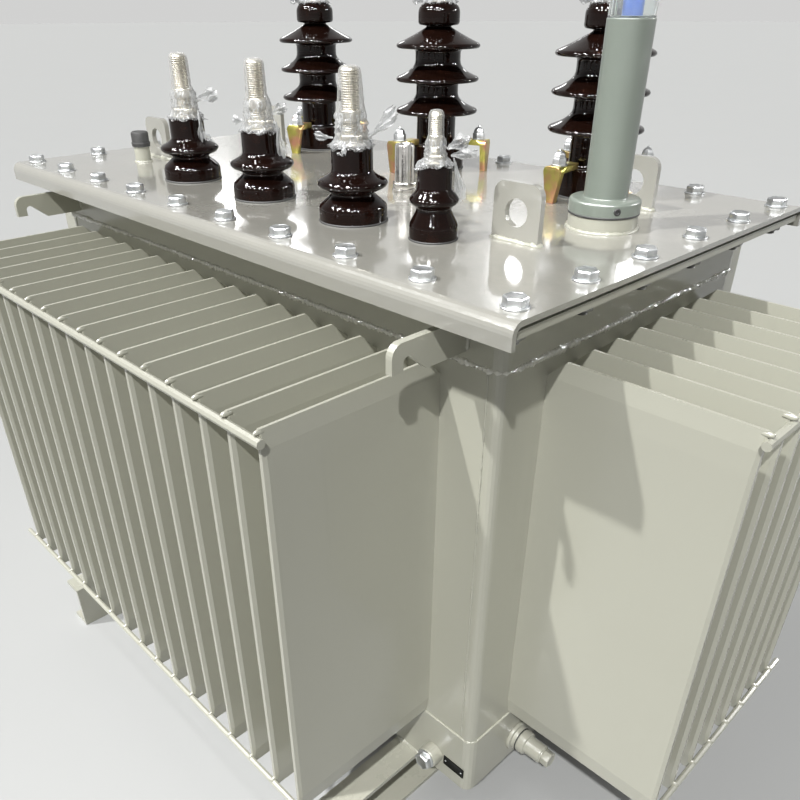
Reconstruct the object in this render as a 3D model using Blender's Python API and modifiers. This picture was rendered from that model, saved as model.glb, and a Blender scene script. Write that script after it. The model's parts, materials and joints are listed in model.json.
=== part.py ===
"""Sealed oil-filled distribution transformer with a corrugated tank.

Metres, +Z up.  The origin is on the floor under the middle of the tank, +X runs along the
long side and the low-voltage side faces -Y.
"""

import math

import bmesh
import bpy
from mathutils import Matrix, Vector

# Gap left between two pieces that touch
CLEARANCE = 0.0003

# Skid channels, set in from the tank's ends and reaching past its long walls
SKID_HEIGHT = 0.090
SKID_FLANGE = 0.045
SKID_WEB = 0.0055
SKID_FLANGE_THICKNESS = 0.007
SKID_OVERHANG = 0.2125
SKID_INSET = 0.0975

# Tank walls, measured over the outside of the sheet
TANK_LENGTH = 0.976
TANK_WIDTH = 0.505
TANK_CORNER_RADIUS = 0.012
WALL_SHEET = 0.003
WALL_CORNER_LEG = 0.006
SKIRT_HEIGHT = 0.103
SKIRT_PLATE = 0.005
SKIRT_STEP = 0.002
FLOOR_PLATE = 0.006
BAND_HEIGHT = 0.0724
BAND_PLATE = 0.005
BAND_STEP = 0.0015

# Cooling fins; as many stand on a wall as fit between the plain stretches at its corners
FIN_HEIGHT = 0.553
FIN_FOOT_GAP = 0.0059
FIN_HEAD_GAP = 0.0052
FIN_THICKNESS = 0.010
FIN_EDGE_THICKNESS = 0.0035
FIN_PINCH_LENGTH = 0.026
FIN_ROOT_CHAMFER = 0.021
FIN_TIP_SEGMENTS = 3
FIN_CORNER_ROOM = 0.083
LONG_SIDE_FIN_PITCH = 0.0501
LONG_SIDE_FIN_DEPTH = 0.2365
SHORT_SIDE_FIN_PITCH = 0.0482
SHORT_SIDE_FIN_DEPTH = 0.2320

# Bars welded across the fin tips
TOP_BAR_DIAMETER = 0.010
BOTTOM_BAR_DIAMETER = 0.008
TOP_BAR_OVERHANG = 0.004
BOTTOM_BAR_OVERHANG = 0.026
BAR_END_MARGIN = 0.006
BAR_WELD_DEPTH = 0.0018
BAR_SEGMENTS = 8

# Cover, gasket and tank flange
COVER_OVERHANG_X = 0.052
COVER_OVERHANG_Y = 0.06125
COVER_SHEET = 0.006
COVER_LIP_DEPTH = 0.0265
COVER_BEND_RADIUS = 0.013
COVER_BEND_SEGMENTS = 6
GASKET_THICKNESS = 0.004
GASKET_INSET = 0.004
FLANGE_THICKNESS = 0.008
FLANGE_END_INSET = 0.003
FLANGE_SIDE_CLEARANCE = 0.005

# Hooks under the cover, their levels measured down from the cover's upper face
HOOK_PLATE = 0.0085
HOOK_INSET = 0.0507
HOOK_TOP_DROP = 0.0355
HOOK_REACH = 0.1075
HOOK_TIP_DROP = 0.0655
HOOK_ROOT_DROP = 0.0710
HOOK_TIP_WIDTH = 0.0150
HOOK_CORNER_RADIUS = 0.0140
HOOK_NOTCH_TOP_DROP = 0.0510
HOOK_NOTCH_RADIUS = 0.0060
HOOK_THROAT = 0.0600

# Lifting lugs on the cover, set in from the tank's walls
LUG_WIDTH = 0.0650
LUG_HEIGHT = 0.0640
LUG_PLATE = 0.0080
LUG_CORNER_RADIUS = 0.0140
LUG_EYE_DIAMETER = 0.0310
LUG_EYE_HEIGHT = 0.0320
LUG_RIGHT_INSET = 0.1075
LUG_LEFT_INSET = 0.0855
LUG_FRONT_INSET = 0.1475
LUG_BACK_INSET = 0.1115

# Low-voltage bushings, set in from the tank's walls
LV_ROW_INSET = 0.0865
LV_LEFT_INSET = 0.2887
LV_RIGHT_INSET = 0.3153
LV_NEUTRAL_RIGHT_INSET = 0.1835
LV_NEUTRAL_FRONT_INSET = 0.0915
LV_BASE_RADIUS = 0.0425
LV_BASE_HEIGHT = 0.0190
LV_WAIST_RADIUS = 0.0250
LV_WAIST_HEIGHT = 0.0330
LV_SHED_RADIUS = 0.0440
LV_SHED_HEIGHT = 0.0440
LV_COLLAR_RADIUS = 0.0255
LV_COLLAR_HEIGHT = 0.0560
LV_HEIGHT = 0.0860
LV_STUD_RADIUS = 0.0110
LV_STUD_HEIGHT = 0.0820
LV_NUT_ACROSS_FLATS = 0.0340
LV_NUT_HEIGHT = 0.0130
NEUTRAL_BASE_RADIUS = 0.0280
NEUTRAL_BASE_HEIGHT = 0.0170
NEUTRAL_WAIST_RADIUS = 0.0185
NEUTRAL_WAIST_HEIGHT = 0.0340
NEUTRAL_SHED_RADIUS = 0.0285
NEUTRAL_SHED_HEIGHT = 0.0430
NEUTRAL_COLLAR_RADIUS = 0.0195
NEUTRAL_COLLAR_HEIGHT = 0.0540
NEUTRAL_HEIGHT = 0.0800
NEUTRAL_STUD_RADIUS = 0.0065
NEUTRAL_STUD_HEIGHT = 0.0520
NEUTRAL_NUT_ACROSS_FLATS = 0.0220
NEUTRAL_NUT_HEIGHT = 0.0100

# High-voltage bushings, set in from the tank's walls
HV_ROW_INSET = 0.0825
HV_END_INSET = 0.1937
HV_SHED_RADIUS = 0.0650
HV_SHED_HEIGHTS = (0.0870, 0.1315, 0.1765)
HV_SHED_RISE = 0.0160
HV_TOP_SHED_RISE = 0.0230
HV_SHED_RIM = 0.0055
HV_BARREL_RADII = (0.0310, 0.0330, 0.0350)
HV_NECK_RADIUS = 0.0180
HV_HEAD_RADIUS = 0.0315
HV_HEAD_BOTTOM = 0.2000
HV_HEAD_ROUNDING = 0.0120
HV_HEIGHT = 0.2300
HV_FOOT_RADIUS = 0.0455
HV_FOOT_HEIGHT = 0.0380
HV_STUD_RADIUS = 0.0060
HV_STUD_HEIGHT = 0.0420
HV_NUT_ACROSS_FLATS = 0.0220
HV_NUT_HEIGHT = 0.0090

# Claws that hold down the high-voltage porcelains, three to a bushing; each bushing's
# claws are turned by hand when it is fitted
CLAW_TURNS = (-72.0, -98.0, -92.0)
CLAWS = 3
CLAW_RING_THICKNESS = 0.0030
CLAW_RING_PLAY = 0.0040
CLAW_CIRCLE_RADIUS = 0.0880
CLAW_WIDTH = 0.0280
CLAW_TOE_WIDTH = 0.0120
CLAW_LEG_THICKNESS = 0.0090
CLAW_ARM_LIFT = 0.0010
CLAW_ARM_THICKNESS = 0.0068
CLAW_ROUNDING = 0.0070
CLAW_NUT_INSET = 0.0150
CLAW_NUT_RADIUS = 0.0100
CLAW_NUT_HEIGHT = 0.0200

# Oil level gauge, set in from the tank's end and off its middle
GAUGE_INSET = 0.0760
GAUGE_Y = 0.0220
GAUGE_PAD_RADIUS = 0.0410
GAUGE_PAD_HEIGHT = 0.0180
GAUGE_FLANGE_RADIUS = 0.0420
GAUGE_FLANGE_HEIGHT = 0.0165
GAUGE_TUBE_RADIUS = 0.0257
GAUGE_TUBE_TOP = 0.2150
GAUGE_GLASS_HEIGHT = 0.0600
GAUGE_GLASS_RADIUS = 0.0250
GAUGE_GLASS_WALL = 0.0025
GAUGE_FLOAT_RADIUS = 0.0110
GAUGE_FLOAT_HEIGHT = 0.0480
GAUGE_CAP_OVERHANG = 0.0015
GAUGE_CAP_HEIGHT = 0.0120

# Tap changer housing, filler stub and its cap
TAP_X = 0.0975
TAP_Y = 0.0
TAP_RADIUS = 0.0138
TAP_HEIGHT = 0.0630
TAP_COLLAR_RADIUS = 0.0175
TAP_COLLAR_HEIGHT = 0.0140
FILLER_LEFT_INSET = 0.0988
FILLER_FRONT_INSET = 0.1052
FILLER_RADIUS = 0.0130
FILLER_HEIGHT = 0.0240
FILLER_CAP_RADIUS = 0.0155
FILLER_CAP_HEIGHT = 0.0235

# Earthing boss on the front of the skirt and the drain valve on its right
EARTH_INSET = 0.0645
EARTH_HEIGHT = 0.0347
EARTH_BOSS_RADIUS = 0.0165
EARTH_BOSS_LENGTH = 0.0180
EARTH_BOLT_ACROSS_FLATS = 0.0240
EARTH_BOLT_HEAD = 0.0085
EARTH_WASHER_RADIUS = 0.0150
EARTH_WASHER_THICKNESS = 0.0030
VALVE_FRONT_INSET = 0.1075
VALVE_HEIGHT = 0.0357
VALVE_DISC_RADIUS = 0.0230
VALVE_DISC_THICKNESS = 0.0050
VALVE_BODY_RADIUS = 0.0180
VALVE_BODY_LENGTH = 0.0200
VALVE_NECK_RADIUS = 0.0140
VALVE_NECK_LENGTH = 0.0280
VALVE_CAP_RADIUS = 0.0120
VALVE_CAP_LENGTH = 0.0130

# Small chamfer on turned metal edges, and the steps that a full turn has
EDGE = 0.0012
ROUND_STEPS = 22
NUT_STEPS = 8

# Levels, from the floor up
TANK_BOTTOM = SKID_HEIGHT + CLEARANCE
SKIRT_TOP = TANK_BOTTOM + SKIRT_HEIGHT
WALL_BOTTOM = SKIRT_TOP + CLEARANCE
FIN_BOTTOM = WALL_BOTTOM + FIN_FOOT_GAP
FIN_TOP = FIN_BOTTOM + FIN_HEIGHT
WALL_TOP = FIN_TOP + FIN_HEAD_GAP
BAND_BOTTOM = WALL_TOP + CLEARANCE
FLANGE_TOP = BAND_BOTTOM + BAND_HEIGHT
FLANGE_BOTTOM = FLANGE_TOP - FLANGE_THICKNESS
COVER_TOP = FLANGE_TOP + GASKET_THICKNESS + 2 * CLEARANCE + COVER_SHEET
COVER_SEAT = COVER_TOP + CLEARANCE

# Plan sizes and places that follow from the tank's
TANK_END = TANK_LENGTH / 2
TANK_SIDE = TANK_WIDTH / 2
COVER_LENGTH = TANK_LENGTH + 2 * COVER_OVERHANG_X
COVER_WIDTH = TANK_WIDTH + 2 * COVER_OVERHANG_Y
FLANGE_LENGTH = COVER_LENGTH - 2 * FLANGE_END_INSET
FLANGE_WIDTH = COVER_WIDTH - 2 * (COVER_SHEET + FLANGE_SIDE_CLEARANCE)
WALL_RETURN = TANK_CORNER_RADIUS + WALL_CORNER_LEG
SKID_LENGTH = TANK_WIDTH + 2 * SKID_OVERHANG
SKID_EDGE_X = TANK_END - SKID_INSET
LV_ROW_Y = LV_ROW_INSET - TANK_SIDE
LV_LEFT_X = LV_LEFT_INSET - TANK_END
LV_RIGHT_X = TANK_END - LV_RIGHT_INSET
LV_PHASE_X = (LV_LEFT_X, (LV_LEFT_X + LV_RIGHT_X) / 2, LV_RIGHT_X)
HV_ROW_Y = TANK_SIDE - HV_ROW_INSET
HV_PHASE_X = (HV_END_INSET - TANK_END, 0.0, TANK_END - HV_END_INSET)

QUARTER_TURN = math.pi / 2


def clear_scene():
    """Remove everything that is in the scene."""
    for scene_object in list(bpy.data.objects):
        bpy.data.objects.remove(scene_object, do_unlink=True)


def make_collection(name):
    """Add a collection to the scene."""
    collection = bpy.data.collections.new(name)
    bpy.context.scene.collection.children.link(collection)
    return collection


def make_material(name, colour, metallic, roughness):
    """Make a plain Principled material."""
    material = bpy.data.materials.new(name)
    material.use_nodes = True
    shader = material.node_tree.nodes["Principled BSDF"]
    shader.inputs["Base Color"].default_value = (*colour, 1.0)
    shader.inputs["Metallic"].default_value = metallic
    shader.inputs["Roughness"].default_value = roughness
    return material


clear_scene()
PARTS = make_collection("power_transformer")
CUTTERS = make_collection("power_transformer_cutters")
ENAMEL = make_material("grey_enamel", (0.42, 0.42, 0.36), 0.0, 0.35)
PORCELAIN = make_material("brown_porcelain", (0.035, 0.012, 0.008), 0.0, 0.12)
TINNED = make_material("tinned_brass", (0.62, 0.58, 0.50), 1.0, 0.35)
GALVANISED = make_material("galvanised_steel", (0.55, 0.56, 0.56), 1.0, 0.40)
YELLOW_ZINC = make_material("yellow_zinc", (0.55, 0.47, 0.20), 1.0, 0.35)
RUBBER = make_material("black_rubber", (0.02, 0.02, 0.02), 0.0, 0.75)
GAUGE_GREEN = make_material("gauge_green", (0.30, 0.40, 0.32), 0.0, 0.40)
CLEAR = make_material("clear_plastic", (0.80, 0.85, 0.85), 0.0, 0.08)
BLUE = make_material("blue_indicator", (0.05, 0.15, 0.60), 0.0, 0.40)
POLISHED = make_material("bright_steel", (0.70, 0.68, 0.66), 1.0, 0.18)


def object_from_bmesh(name, mesh_data, material, collection=PARTS):
    """Turn an edit mesh into an object with its faces pointing out."""
    bmesh.ops.recalc_face_normals(mesh_data, faces=mesh_data.faces)
    mesh = bpy.data.meshes.new(name)
    mesh_data.to_mesh(mesh)
    mesh_data.free()
    mesh.materials.append(material)
    made = bpy.data.objects.new(name, mesh)
    collection.objects.link(made)
    if collection is CUTTERS:
        made.hide_render = True
        made.display_type = "WIRE"
    return made


def add_box(mesh_data, low, high):
    """Add a box between two corners to an edit mesh."""
    middle = [(a + b) / 2 for a, b in zip(low, high)]
    size = [b - a for a, b in zip(low, high)]
    matrix = Matrix.Translation(middle) @ Matrix.Diagonal((*size, 1.0))
    bmesh.ops.create_cube(mesh_data, size=1.0, matrix=matrix)


def add_cylinder(mesh_data, radius, length, matrix, segments):
    """Add a closed cylinder along its own Z to an edit mesh."""
    bmesh.ops.create_cone(
        mesh_data,
        cap_ends=True,
        segments=segments,
        radius1=radius,
        radius2=radius,
        depth=length,
        matrix=matrix,
    )


def box_object(name, low, high, material, collection=PARTS):
    """Make one box."""
    mesh_data = bmesh.new()
    add_box(mesh_data, low, high)
    return object_from_bmesh(name, mesh_data, material, collection)


def add_prism(mesh_data, outline, thickness, matrix):
    """Raise a flat outline along its own Z, centred on it, in an edit mesh."""
    base = [mesh_data.verts.new(matrix @ Vector((x, y, -thickness / 2))) for x, y in outline]
    raised = bmesh.ops.extrude_face_region(mesh_data, geom=[mesh_data.faces.new(base)])
    top = [item for item in raised["geom"] if isinstance(item, bmesh.types.BMVert)]
    rise = matrix.to_3x3() @ Vector((0.0, 0.0, thickness))
    bmesh.ops.translate(mesh_data, verts=top, vec=rise)


def boolean(target, other, operation):
    """Cut, or join, a piece with a cutter that stays in the cutters' collection."""
    modifier = target.modifiers.new(f"{operation.lower()}_{other.name}", "BOOLEAN")
    modifier.operation = operation
    modifier.solver = "EXACT"
    modifier.object = other
    return modifier


def smooth(mesh, angle=30.0):
    """Shade the round faces smooth and keep the hard edges."""
    mesh.shade_smooth()
    mesh.set_sharp_from_angle(angle=math.radians(angle))


def turned(name, profile, material, location, steps=ROUND_STEPS, collection=PARTS):
    """Turn a profile of (radius, height) points, listed from the top down, about Z."""
    mesh = bpy.data.meshes.new(name)
    points = [(radius, 0.0, height) for radius, height in profile]
    edges = [(index, index + 1) for index in range(len(points) - 1)]
    mesh.from_pydata(points, edges, [])
    mesh.materials.append(material)
    made = bpy.data.objects.new(name, mesh)
    made.location = location
    collection.objects.link(made)
    screw = made.modifiers.new("turn", "SCREW")
    screw.axis = "Z"
    screw.angle = math.tau
    screw.steps = steps
    screw.render_steps = steps
    screw.use_merge_vertices = True
    screw.merge_threshold = 0.00002
    screw.use_smooth_shade = True
    if collection is CUTTERS:
        made.hide_render = True
        made.display_type = "WIRE"
    return made


def arc(centre, radius, start, end, segments):
    """Return points on an arc, both ends included, with angles in degrees."""
    points = []
    for index in range(segments + 1):
        angle = math.radians(start + (end - start) * index / segments)
        points.append((centre[0] + radius * math.cos(angle), centre[1] + radius * math.sin(angle)))
    return points


def plate(name, outlines, thickness, material, location, rotation):
    """Make a flat plate from closed outlines, the first one outside and the rest holes."""
    curve = bpy.data.curves.new(name, "CURVE")
    curve.dimensions = "2D"
    curve.fill_mode = "BOTH"
    curve.extrude = thickness / 2
    for outline in outlines:
        spline = curve.splines.new("POLY")
        spline.points.add(len(outline) - 1)
        for point, (across, up) in zip(spline.points, outline):
            point.co = (across, up, 0.0, 1.0)
        spline.use_cyclic_u = True
    curve.materials.append(material)
    made = bpy.data.objects.new(name, curve)
    made.location = location
    made.rotation_euler = rotation
    PARTS.objects.link(made)
    return made


# Plates drawn as (Y, Z) and as (X, Z)
ACROSS_X = (QUARTER_TURN, 0.0, QUARTER_TURN)
ACROSS_Y = (QUARTER_TURN, 0.0, 0.0)


def rounded_rectangle(length, width, radius, segments=4):
    """Return the points of a rectangle with rounded corners, anticlockwise."""
    points = []
    for corner, (sign_x, sign_y) in enumerate(((1, 1), (-1, 1), (-1, -1), (1, -1))):
        centre = (sign_x * (length / 2 - radius), sign_y * (width / 2 - radius))
        points.extend(arc(centre, radius, 90 * corner, 90 * corner + 90, segments))
    return points


def ring(name, section, length, width, radius, material):
    """Sweep a closed section of (outward, height) points round a rounded rectangle."""
    mesh_data = bmesh.new()
    loops = []
    for outward, height in section:
        outline = rounded_rectangle(
            length + 2 * outward, width + 2 * outward, max(radius + outward, 0.0005)
        )
        loops.append([mesh_data.verts.new((x, y, height)) for x, y in outline])
    for first, second in zip(loops, loops[1:] + loops[:1]):
        count = len(first)
        for index in range(count):
            following = (index + 1) % count
            mesh_data.faces.new(
                (first[index], first[following], second[following], second[index])
            )
    made = object_from_bmesh(name, mesh_data, material)
    smooth(made.data)
    return made


def build_skids():
    """Make the two channels that the tank stands on."""
    for side, name in ((1, "skid_right"), (-1, "skid_left")):
        inner = SKID_EDGE_X - SKID_FLANGE
        mesh_data = bmesh.new()
        low = (inner, -SKID_LENGTH / 2, 0.0)
        high = (SKID_EDGE_X, SKID_LENGTH / 2, SKID_HEIGHT)
        add_box(mesh_data, low, high)
        channel = object_from_bmesh(name, mesh_data, ENAMEL)
        hollow = box_object(
            f"{name}_hollow",
            (inner + SKID_WEB, -SKID_LENGTH, SKID_FLANGE_THICKNESS),
            (SKID_EDGE_X + SKID_WEB, SKID_LENGTH, SKID_HEIGHT - SKID_FLANGE_THICKNESS),
            ENAMEL,
            CUTTERS,
        )
        if side < 0:
            for piece in (channel, hollow):
                piece.data.transform(Matrix.Scale(-1.0, 4, (1.0, 0.0, 0.0)))
                piece.data.flip_normals()
        boolean(channel, hollow, "DIFFERENCE")


def build_base():
    """Make the tank floor and the skirt round the foot of the tank."""
    skirt_inside = SKIRT_STEP - SKIRT_PLATE
    floor_plate(
        "tank_floor",
        TANK_LENGTH + 2 * (skirt_inside - CLEARANCE),
        TANK_WIDTH + 2 * (skirt_inside - CLEARANCE),
        TANK_CORNER_RADIUS + skirt_inside,
        TANK_BOTTOM,
        FLOOR_PLATE,
    )
    section = (
        (SKIRT_STEP, TANK_BOTTOM),
        (SKIRT_STEP, SKIRT_TOP),
        (skirt_inside, SKIRT_TOP),
        (skirt_inside, TANK_BOTTOM),
    )
    ring("base_skirt", section, TANK_LENGTH, TANK_WIDTH, TANK_CORNER_RADIUS, ENAMEL)


def floor_plate(name, length, width, radius, bottom, thickness):
    """Make a flat plate with rounded corners."""
    plate(
        name,
        [rounded_rectangle(length, width, radius)],
        thickness,
        ENAMEL,
        (0.0, 0.0, bottom + thickness / 2),
        (0.0, 0.0, 0.0),
    )


def fin_sections(depth):
    """Return (height, half thickness, start of the fin from the wall) for one fin."""
    half = FIN_THICKNESS / 2
    edge = FIN_EDGE_THICKNESS / 2
    chamfer_start = FIN_TOP - FIN_ROOT_CHAMFER
    share = min(1.0, (FIN_TOP - chamfer_start) / FIN_PINCH_LENGTH)
    root = -WALL_SHEET / 2
    return (
        (FIN_BOTTOM, edge, root),
        (FIN_BOTTOM + FIN_PINCH_LENGTH, half, root),
        (FIN_TOP - FIN_PINCH_LENGTH - FIN_ROOT_CHAMFER, half, root),
        (chamfer_start, edge + (half - edge) * share, root),
        (FIN_TOP, edge, min(FIN_ROOT_CHAMFER, depth / 2)),
    )


def add_fin(mesh_data, place, wall, depth):
    """Loft one fin whose ends are pressed flat; it stands out along -Y from the wall."""
    loops = []
    for height, half, start in fin_sections(depth):
        tip = arc((place, -wall - depth + half), half, 180, 360, FIN_TIP_SEGMENTS)
        outline = [(place - half, -wall - start), *tip, (place + half, -wall - start)]
        loops.append([mesh_data.verts.new((x, y, height)) for x, y in outline])
    for lower, upper in zip(loops, loops[1:]):
        count = len(lower)
        for index in range(count):
            following = (index + 1) % count
            mesh_data.faces.new(
                (lower[index], lower[following], upper[following], upper[index])
            )
    mesh_data.faces.new(loops[0])
    mesh_data.faces.new(loops[-1])


def fin_places(length, pitch):
    """Return the fins' places along a wall of a given length, centred."""
    last = int((length - 2 * FIN_CORNER_ROOM) / pitch)
    return [(index - last / 2) * pitch for index in range(last + 1)]


def wall_outline(wall, half_length, returns):
    """Return the plan of a wall sheet; with returns it wraps round both corners."""
    if not returns:
        return [
            (half_length, -wall),
            (half_length, -wall + WALL_SHEET),
            (-half_length, -wall + WALL_SHEET),
            (-half_length, -wall),
        ]
    outer = TANK_CORNER_RADIUS
    inner = TANK_CORNER_RADIUS - WALL_SHEET
    turn_x = half_length - outer
    turn_y = -wall + outer
    legs = -wall + WALL_RETURN
    points = [(half_length, legs)]
    points += reversed(arc((turn_x, turn_y), outer, 270, 360, 5))
    points += reversed(arc((-turn_x, turn_y), outer, 180, 270, 5))
    points += [(-half_length, legs), (-half_length + WALL_SHEET, legs)]
    points += arc((-turn_x, turn_y), inner, 180, 270, 5)
    points += arc((turn_x, turn_y), inner, 270, 360, 5)
    points += [(half_length - WALL_SHEET, legs)]
    return points


def add_bars(mesh_data, span, out):
    """Add the round bars across the fin tips, near the fins' heads and feet."""
    bars = (
        (TOP_BAR_DIAMETER, TOP_BAR_OVERHANG, FIN_TOP - BAR_END_MARGIN - TOP_BAR_DIAMETER / 2),
        (
            BOTTOM_BAR_DIAMETER,
            BOTTOM_BAR_OVERHANG,
            FIN_BOTTOM + BAR_END_MARGIN + BOTTOM_BAR_DIAMETER / 2,
        ),
    )
    for diameter, overhang, height in bars:
        middle = (0.0, out + BAR_WELD_DEPTH - diameter / 2, height)
        matrix = Matrix.Translation(middle) @ Matrix.Rotation(QUARTER_TURN, 4, "Y")
        add_cylinder(mesh_data, diameter / 2, span + 2 * overhang, matrix, BAR_SEGMENTS)


def corrugated_wall(name, turn, wall, half_length, returns, places, depth):
    """Make one wall: its sheet, its fins and the two bars across the fin tips."""
    mesh_data = bmesh.new()
    middle = Matrix.Translation((0.0, 0.0, (WALL_BOTTOM + WALL_TOP) / 2))
    outline = wall_outline(wall, half_length, returns)
    add_prism(mesh_data, outline, WALL_TOP - WALL_BOTTOM, middle)
    sheet = object_from_bmesh(name, mesh_data, ENAMEL)

    mesh_data = bmesh.new()
    for place in places:
        add_fin(mesh_data, place, wall, depth)
    fins = object_from_bmesh(f"{name}_fins", mesh_data, ENAMEL, CUTTERS)

    mesh_data = bmesh.new()
    add_bars(mesh_data, places[-1] - places[0] + FIN_THICKNESS, -wall - depth)
    bar_pair = object_from_bmesh(f"{name}_bars", mesh_data, ENAMEL, CUTTERS)

    for piece in (sheet, fins, bar_pair):
        piece.data.transform(Matrix.Rotation(turn, 4, "Z"))
    boolean(sheet, fins, "UNION")
    boolean(sheet, bar_pair, "UNION")


def build_walls():
    """Make the four corrugated walls; the short ones wrap round the tank's corners."""
    long_places = fin_places(TANK_LENGTH, LONG_SIDE_FIN_PITCH)
    short_places = fin_places(TANK_WIDTH, SHORT_SIDE_FIN_PITCH)
    long_half = TANK_END - WALL_RETURN - CLEARANCE
    long_side = (TANK_SIDE, long_half, False, long_places, LONG_SIDE_FIN_DEPTH)
    short_side = (TANK_END, TANK_SIDE, True, short_places, SHORT_SIDE_FIN_DEPTH)
    corrugated_wall("corrugated_wall_front", 0.0, *long_side)
    corrugated_wall("corrugated_wall_back", math.pi, *long_side)
    corrugated_wall("corrugated_wall_right", QUARTER_TURN, *short_side)
    corrugated_wall("corrugated_wall_left", -QUARTER_TURN, *short_side)


def build_top_frame():
    """Make the band above the fins with the flange on it, and the gasket."""
    inner = BAND_STEP - BAND_PLATE
    section = (
        (BAND_STEP, BAND_BOTTOM),
        (BAND_STEP, FLANGE_TOP),
        (inner, FLANGE_TOP),
        (inner, BAND_BOTTOM),
    )
    frame = ring("top_frame", section, TANK_LENGTH, TANK_WIDTH, TANK_CORNER_RADIUS, ENAMEL)
    flange = frame_plate(
        "top_frame_flange",
        FLANGE_LENGTH,
        FLANGE_WIDTH,
        FLANGE_BOTTOM,
        FLANGE_THICKNESS,
        ENAMEL,
        CUTTERS,
    )
    boolean(frame, flange, "UNION")
    frame_plate(
        "cover_gasket",
        FLANGE_LENGTH - 2 * GASKET_INSET,
        FLANGE_WIDTH - 2 * GASKET_INSET,
        FLANGE_TOP + CLEARANCE,
        GASKET_THICKNESS,
        RUBBER,
        PARTS,
    )


def frame_plate(name, length, width, bottom, thickness, material, collection):
    """Make a flat rectangular frame whose opening is the tank's mouth."""
    mouth_x = TANK_END + BAND_STEP - BAND_PLATE / 2
    mouth_y = TANK_SIDE + BAND_STEP - BAND_PLATE / 2
    made = box_object(
        name,
        (-length / 2, -width / 2, bottom),
        (length / 2, width / 2, bottom + thickness),
        material,
        collection,
    )
    mouth = box_object(
        f"{name}_mouth",
        (-mouth_x, -mouth_y, bottom - thickness),
        (mouth_x, mouth_y, bottom + 2 * thickness),
        material,
        CUTTERS,
    )
    boolean(made, mouth, "DIFFERENCE")
    return made


def build_cover():
    """Make the cover plate with its long edges folded down."""
    half = COVER_WIDTH / 2
    outer = COVER_BEND_RADIUS
    inner = COVER_BEND_RADIUS - COVER_SHEET
    foot = -COVER_LIP_DEPTH
    right = (half - outer, -outer)
    left = (-half + outer, -outer)
    outline = [(half, foot)]
    outline += arc(right, outer, 0, 90, COVER_BEND_SEGMENTS)
    outline += arc(left, outer, 90, 180, COVER_BEND_SEGMENTS)
    outline += [(-half, foot), (-half + COVER_SHEET, foot)]
    outline += reversed(arc(left, inner, 90, 180, COVER_BEND_SEGMENTS))
    outline += reversed(arc(right, inner, 0, 90, COVER_BEND_SEGMENTS))
    outline += [(half - COVER_SHEET, foot)]
    plate("cover", [outline], COVER_LENGTH, ENAMEL, (0.0, 0.0, COVER_TOP), ACROSS_X)


def hook_outline():
    """Return a hook's outline as (outward from the wall, height), with a slanting notch."""
    top = COVER_TOP - HOOK_TOP_DROP
    tip = COVER_TOP - HOOK_TIP_DROP
    root = COVER_TOP - HOOK_ROOT_DROP
    notch_top = COVER_TOP - HOOK_NOTCH_TOP_DROP
    corner = (HOOK_REACH - HOOK_CORNER_RADIUS, top - HOOK_CORNER_RADIUS)
    bend = (HOOK_REACH - HOOK_TIP_WIDTH - HOOK_NOTCH_RADIUS, notch_top - HOOK_NOTCH_RADIUS)
    points = [(CLEARANCE, root), (HOOK_THROAT, root)]
    points += reversed(arc(bend, HOOK_NOTCH_RADIUS, 0, 130, 6))
    points += [(HOOK_REACH - HOOK_TIP_WIDTH, tip), (HOOK_REACH, tip)]
    points += arc(corner, HOOK_CORNER_RADIUS, 0, 90, 6)
    points += [(CLEARANCE, top)]
    return points


def build_hooks():
    """Make the four hooks welded to the long walls near the corners."""
    wall = TANK_SIDE + BAND_STEP
    for front, side_name in ((-1, "front"), (1, "back")):
        outline = [(front * (wall + out), height) for out, height in hook_outline()]
        for right, end_name in ((1, "right"), (-1, "left")):
            place = (right * (TANK_END - HOOK_INSET), 0.0, 0.0)
            name = f"hook_{side_name}_{end_name}"
            plate(name, [outline], HOOK_PLATE, ENAMEL, place, ACROSS_X)


def lug_outline():
    """Return a lug's outline and its round eye."""
    half = LUG_WIDTH / 2
    radius = LUG_CORNER_RADIUS
    outline = [(-half, 0.0), (half, 0.0)]
    outline += arc((half - radius, LUG_HEIGHT - radius), radius, 0, 90, 6)
    outline += arc((-half + radius, LUG_HEIGHT - radius), radius, 90, 180, 6)
    eye = arc((0.0, LUG_EYE_HEIGHT), LUG_EYE_DIAMETER / 2, 0, 340, 17)
    return [outline, eye]


def build_lugs():
    """Make the four lifting lugs on the cover."""
    rows = ((LUG_FRONT_INSET - TANK_SIDE, "front"), (TANK_SIDE - LUG_BACK_INSET, "back"))
    ends = ((TANK_END - LUG_RIGHT_INSET, "right"), (LUG_LEFT_INSET - TANK_END, "left"))
    for y, side_name in rows:
        for x, end_name in ends:
            name = f"lifting_lug_{side_name}_{end_name}"
            plate(name, lug_outline(), LUG_PLATE, ENAMEL, (x, y, COVER_SEAT), ACROSS_Y)


def lv_profile(base, base_top, waist, waist_height, shed, shed_height, collar, collar_foot, top):
    """Return the profile of a low-voltage porcelain: collar, one shed, waist and foot."""
    rim = 0.0035
    glaze = 0.0015
    points = [(0.0, top), (collar - 2 * glaze, top), (collar, top - 2 * glaze)]
    points += [(collar, collar_foot)]
    points += [((collar + shed) / 2, collar_foot - rim)]
    points += reversed(arc((shed - rim, shed_height), rim, -60, 60, 3))
    points += [((2 * waist + shed) / 3, shed_height - 2 * rim)]
    points += [(waist, waist_height)]
    points += [(base - glaze, base_top + glaze), (base, base_top - glaze)]
    points += [(base, glaze), (base - glaze, 0.0), (0.0, 0.0)]
    return points


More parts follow.
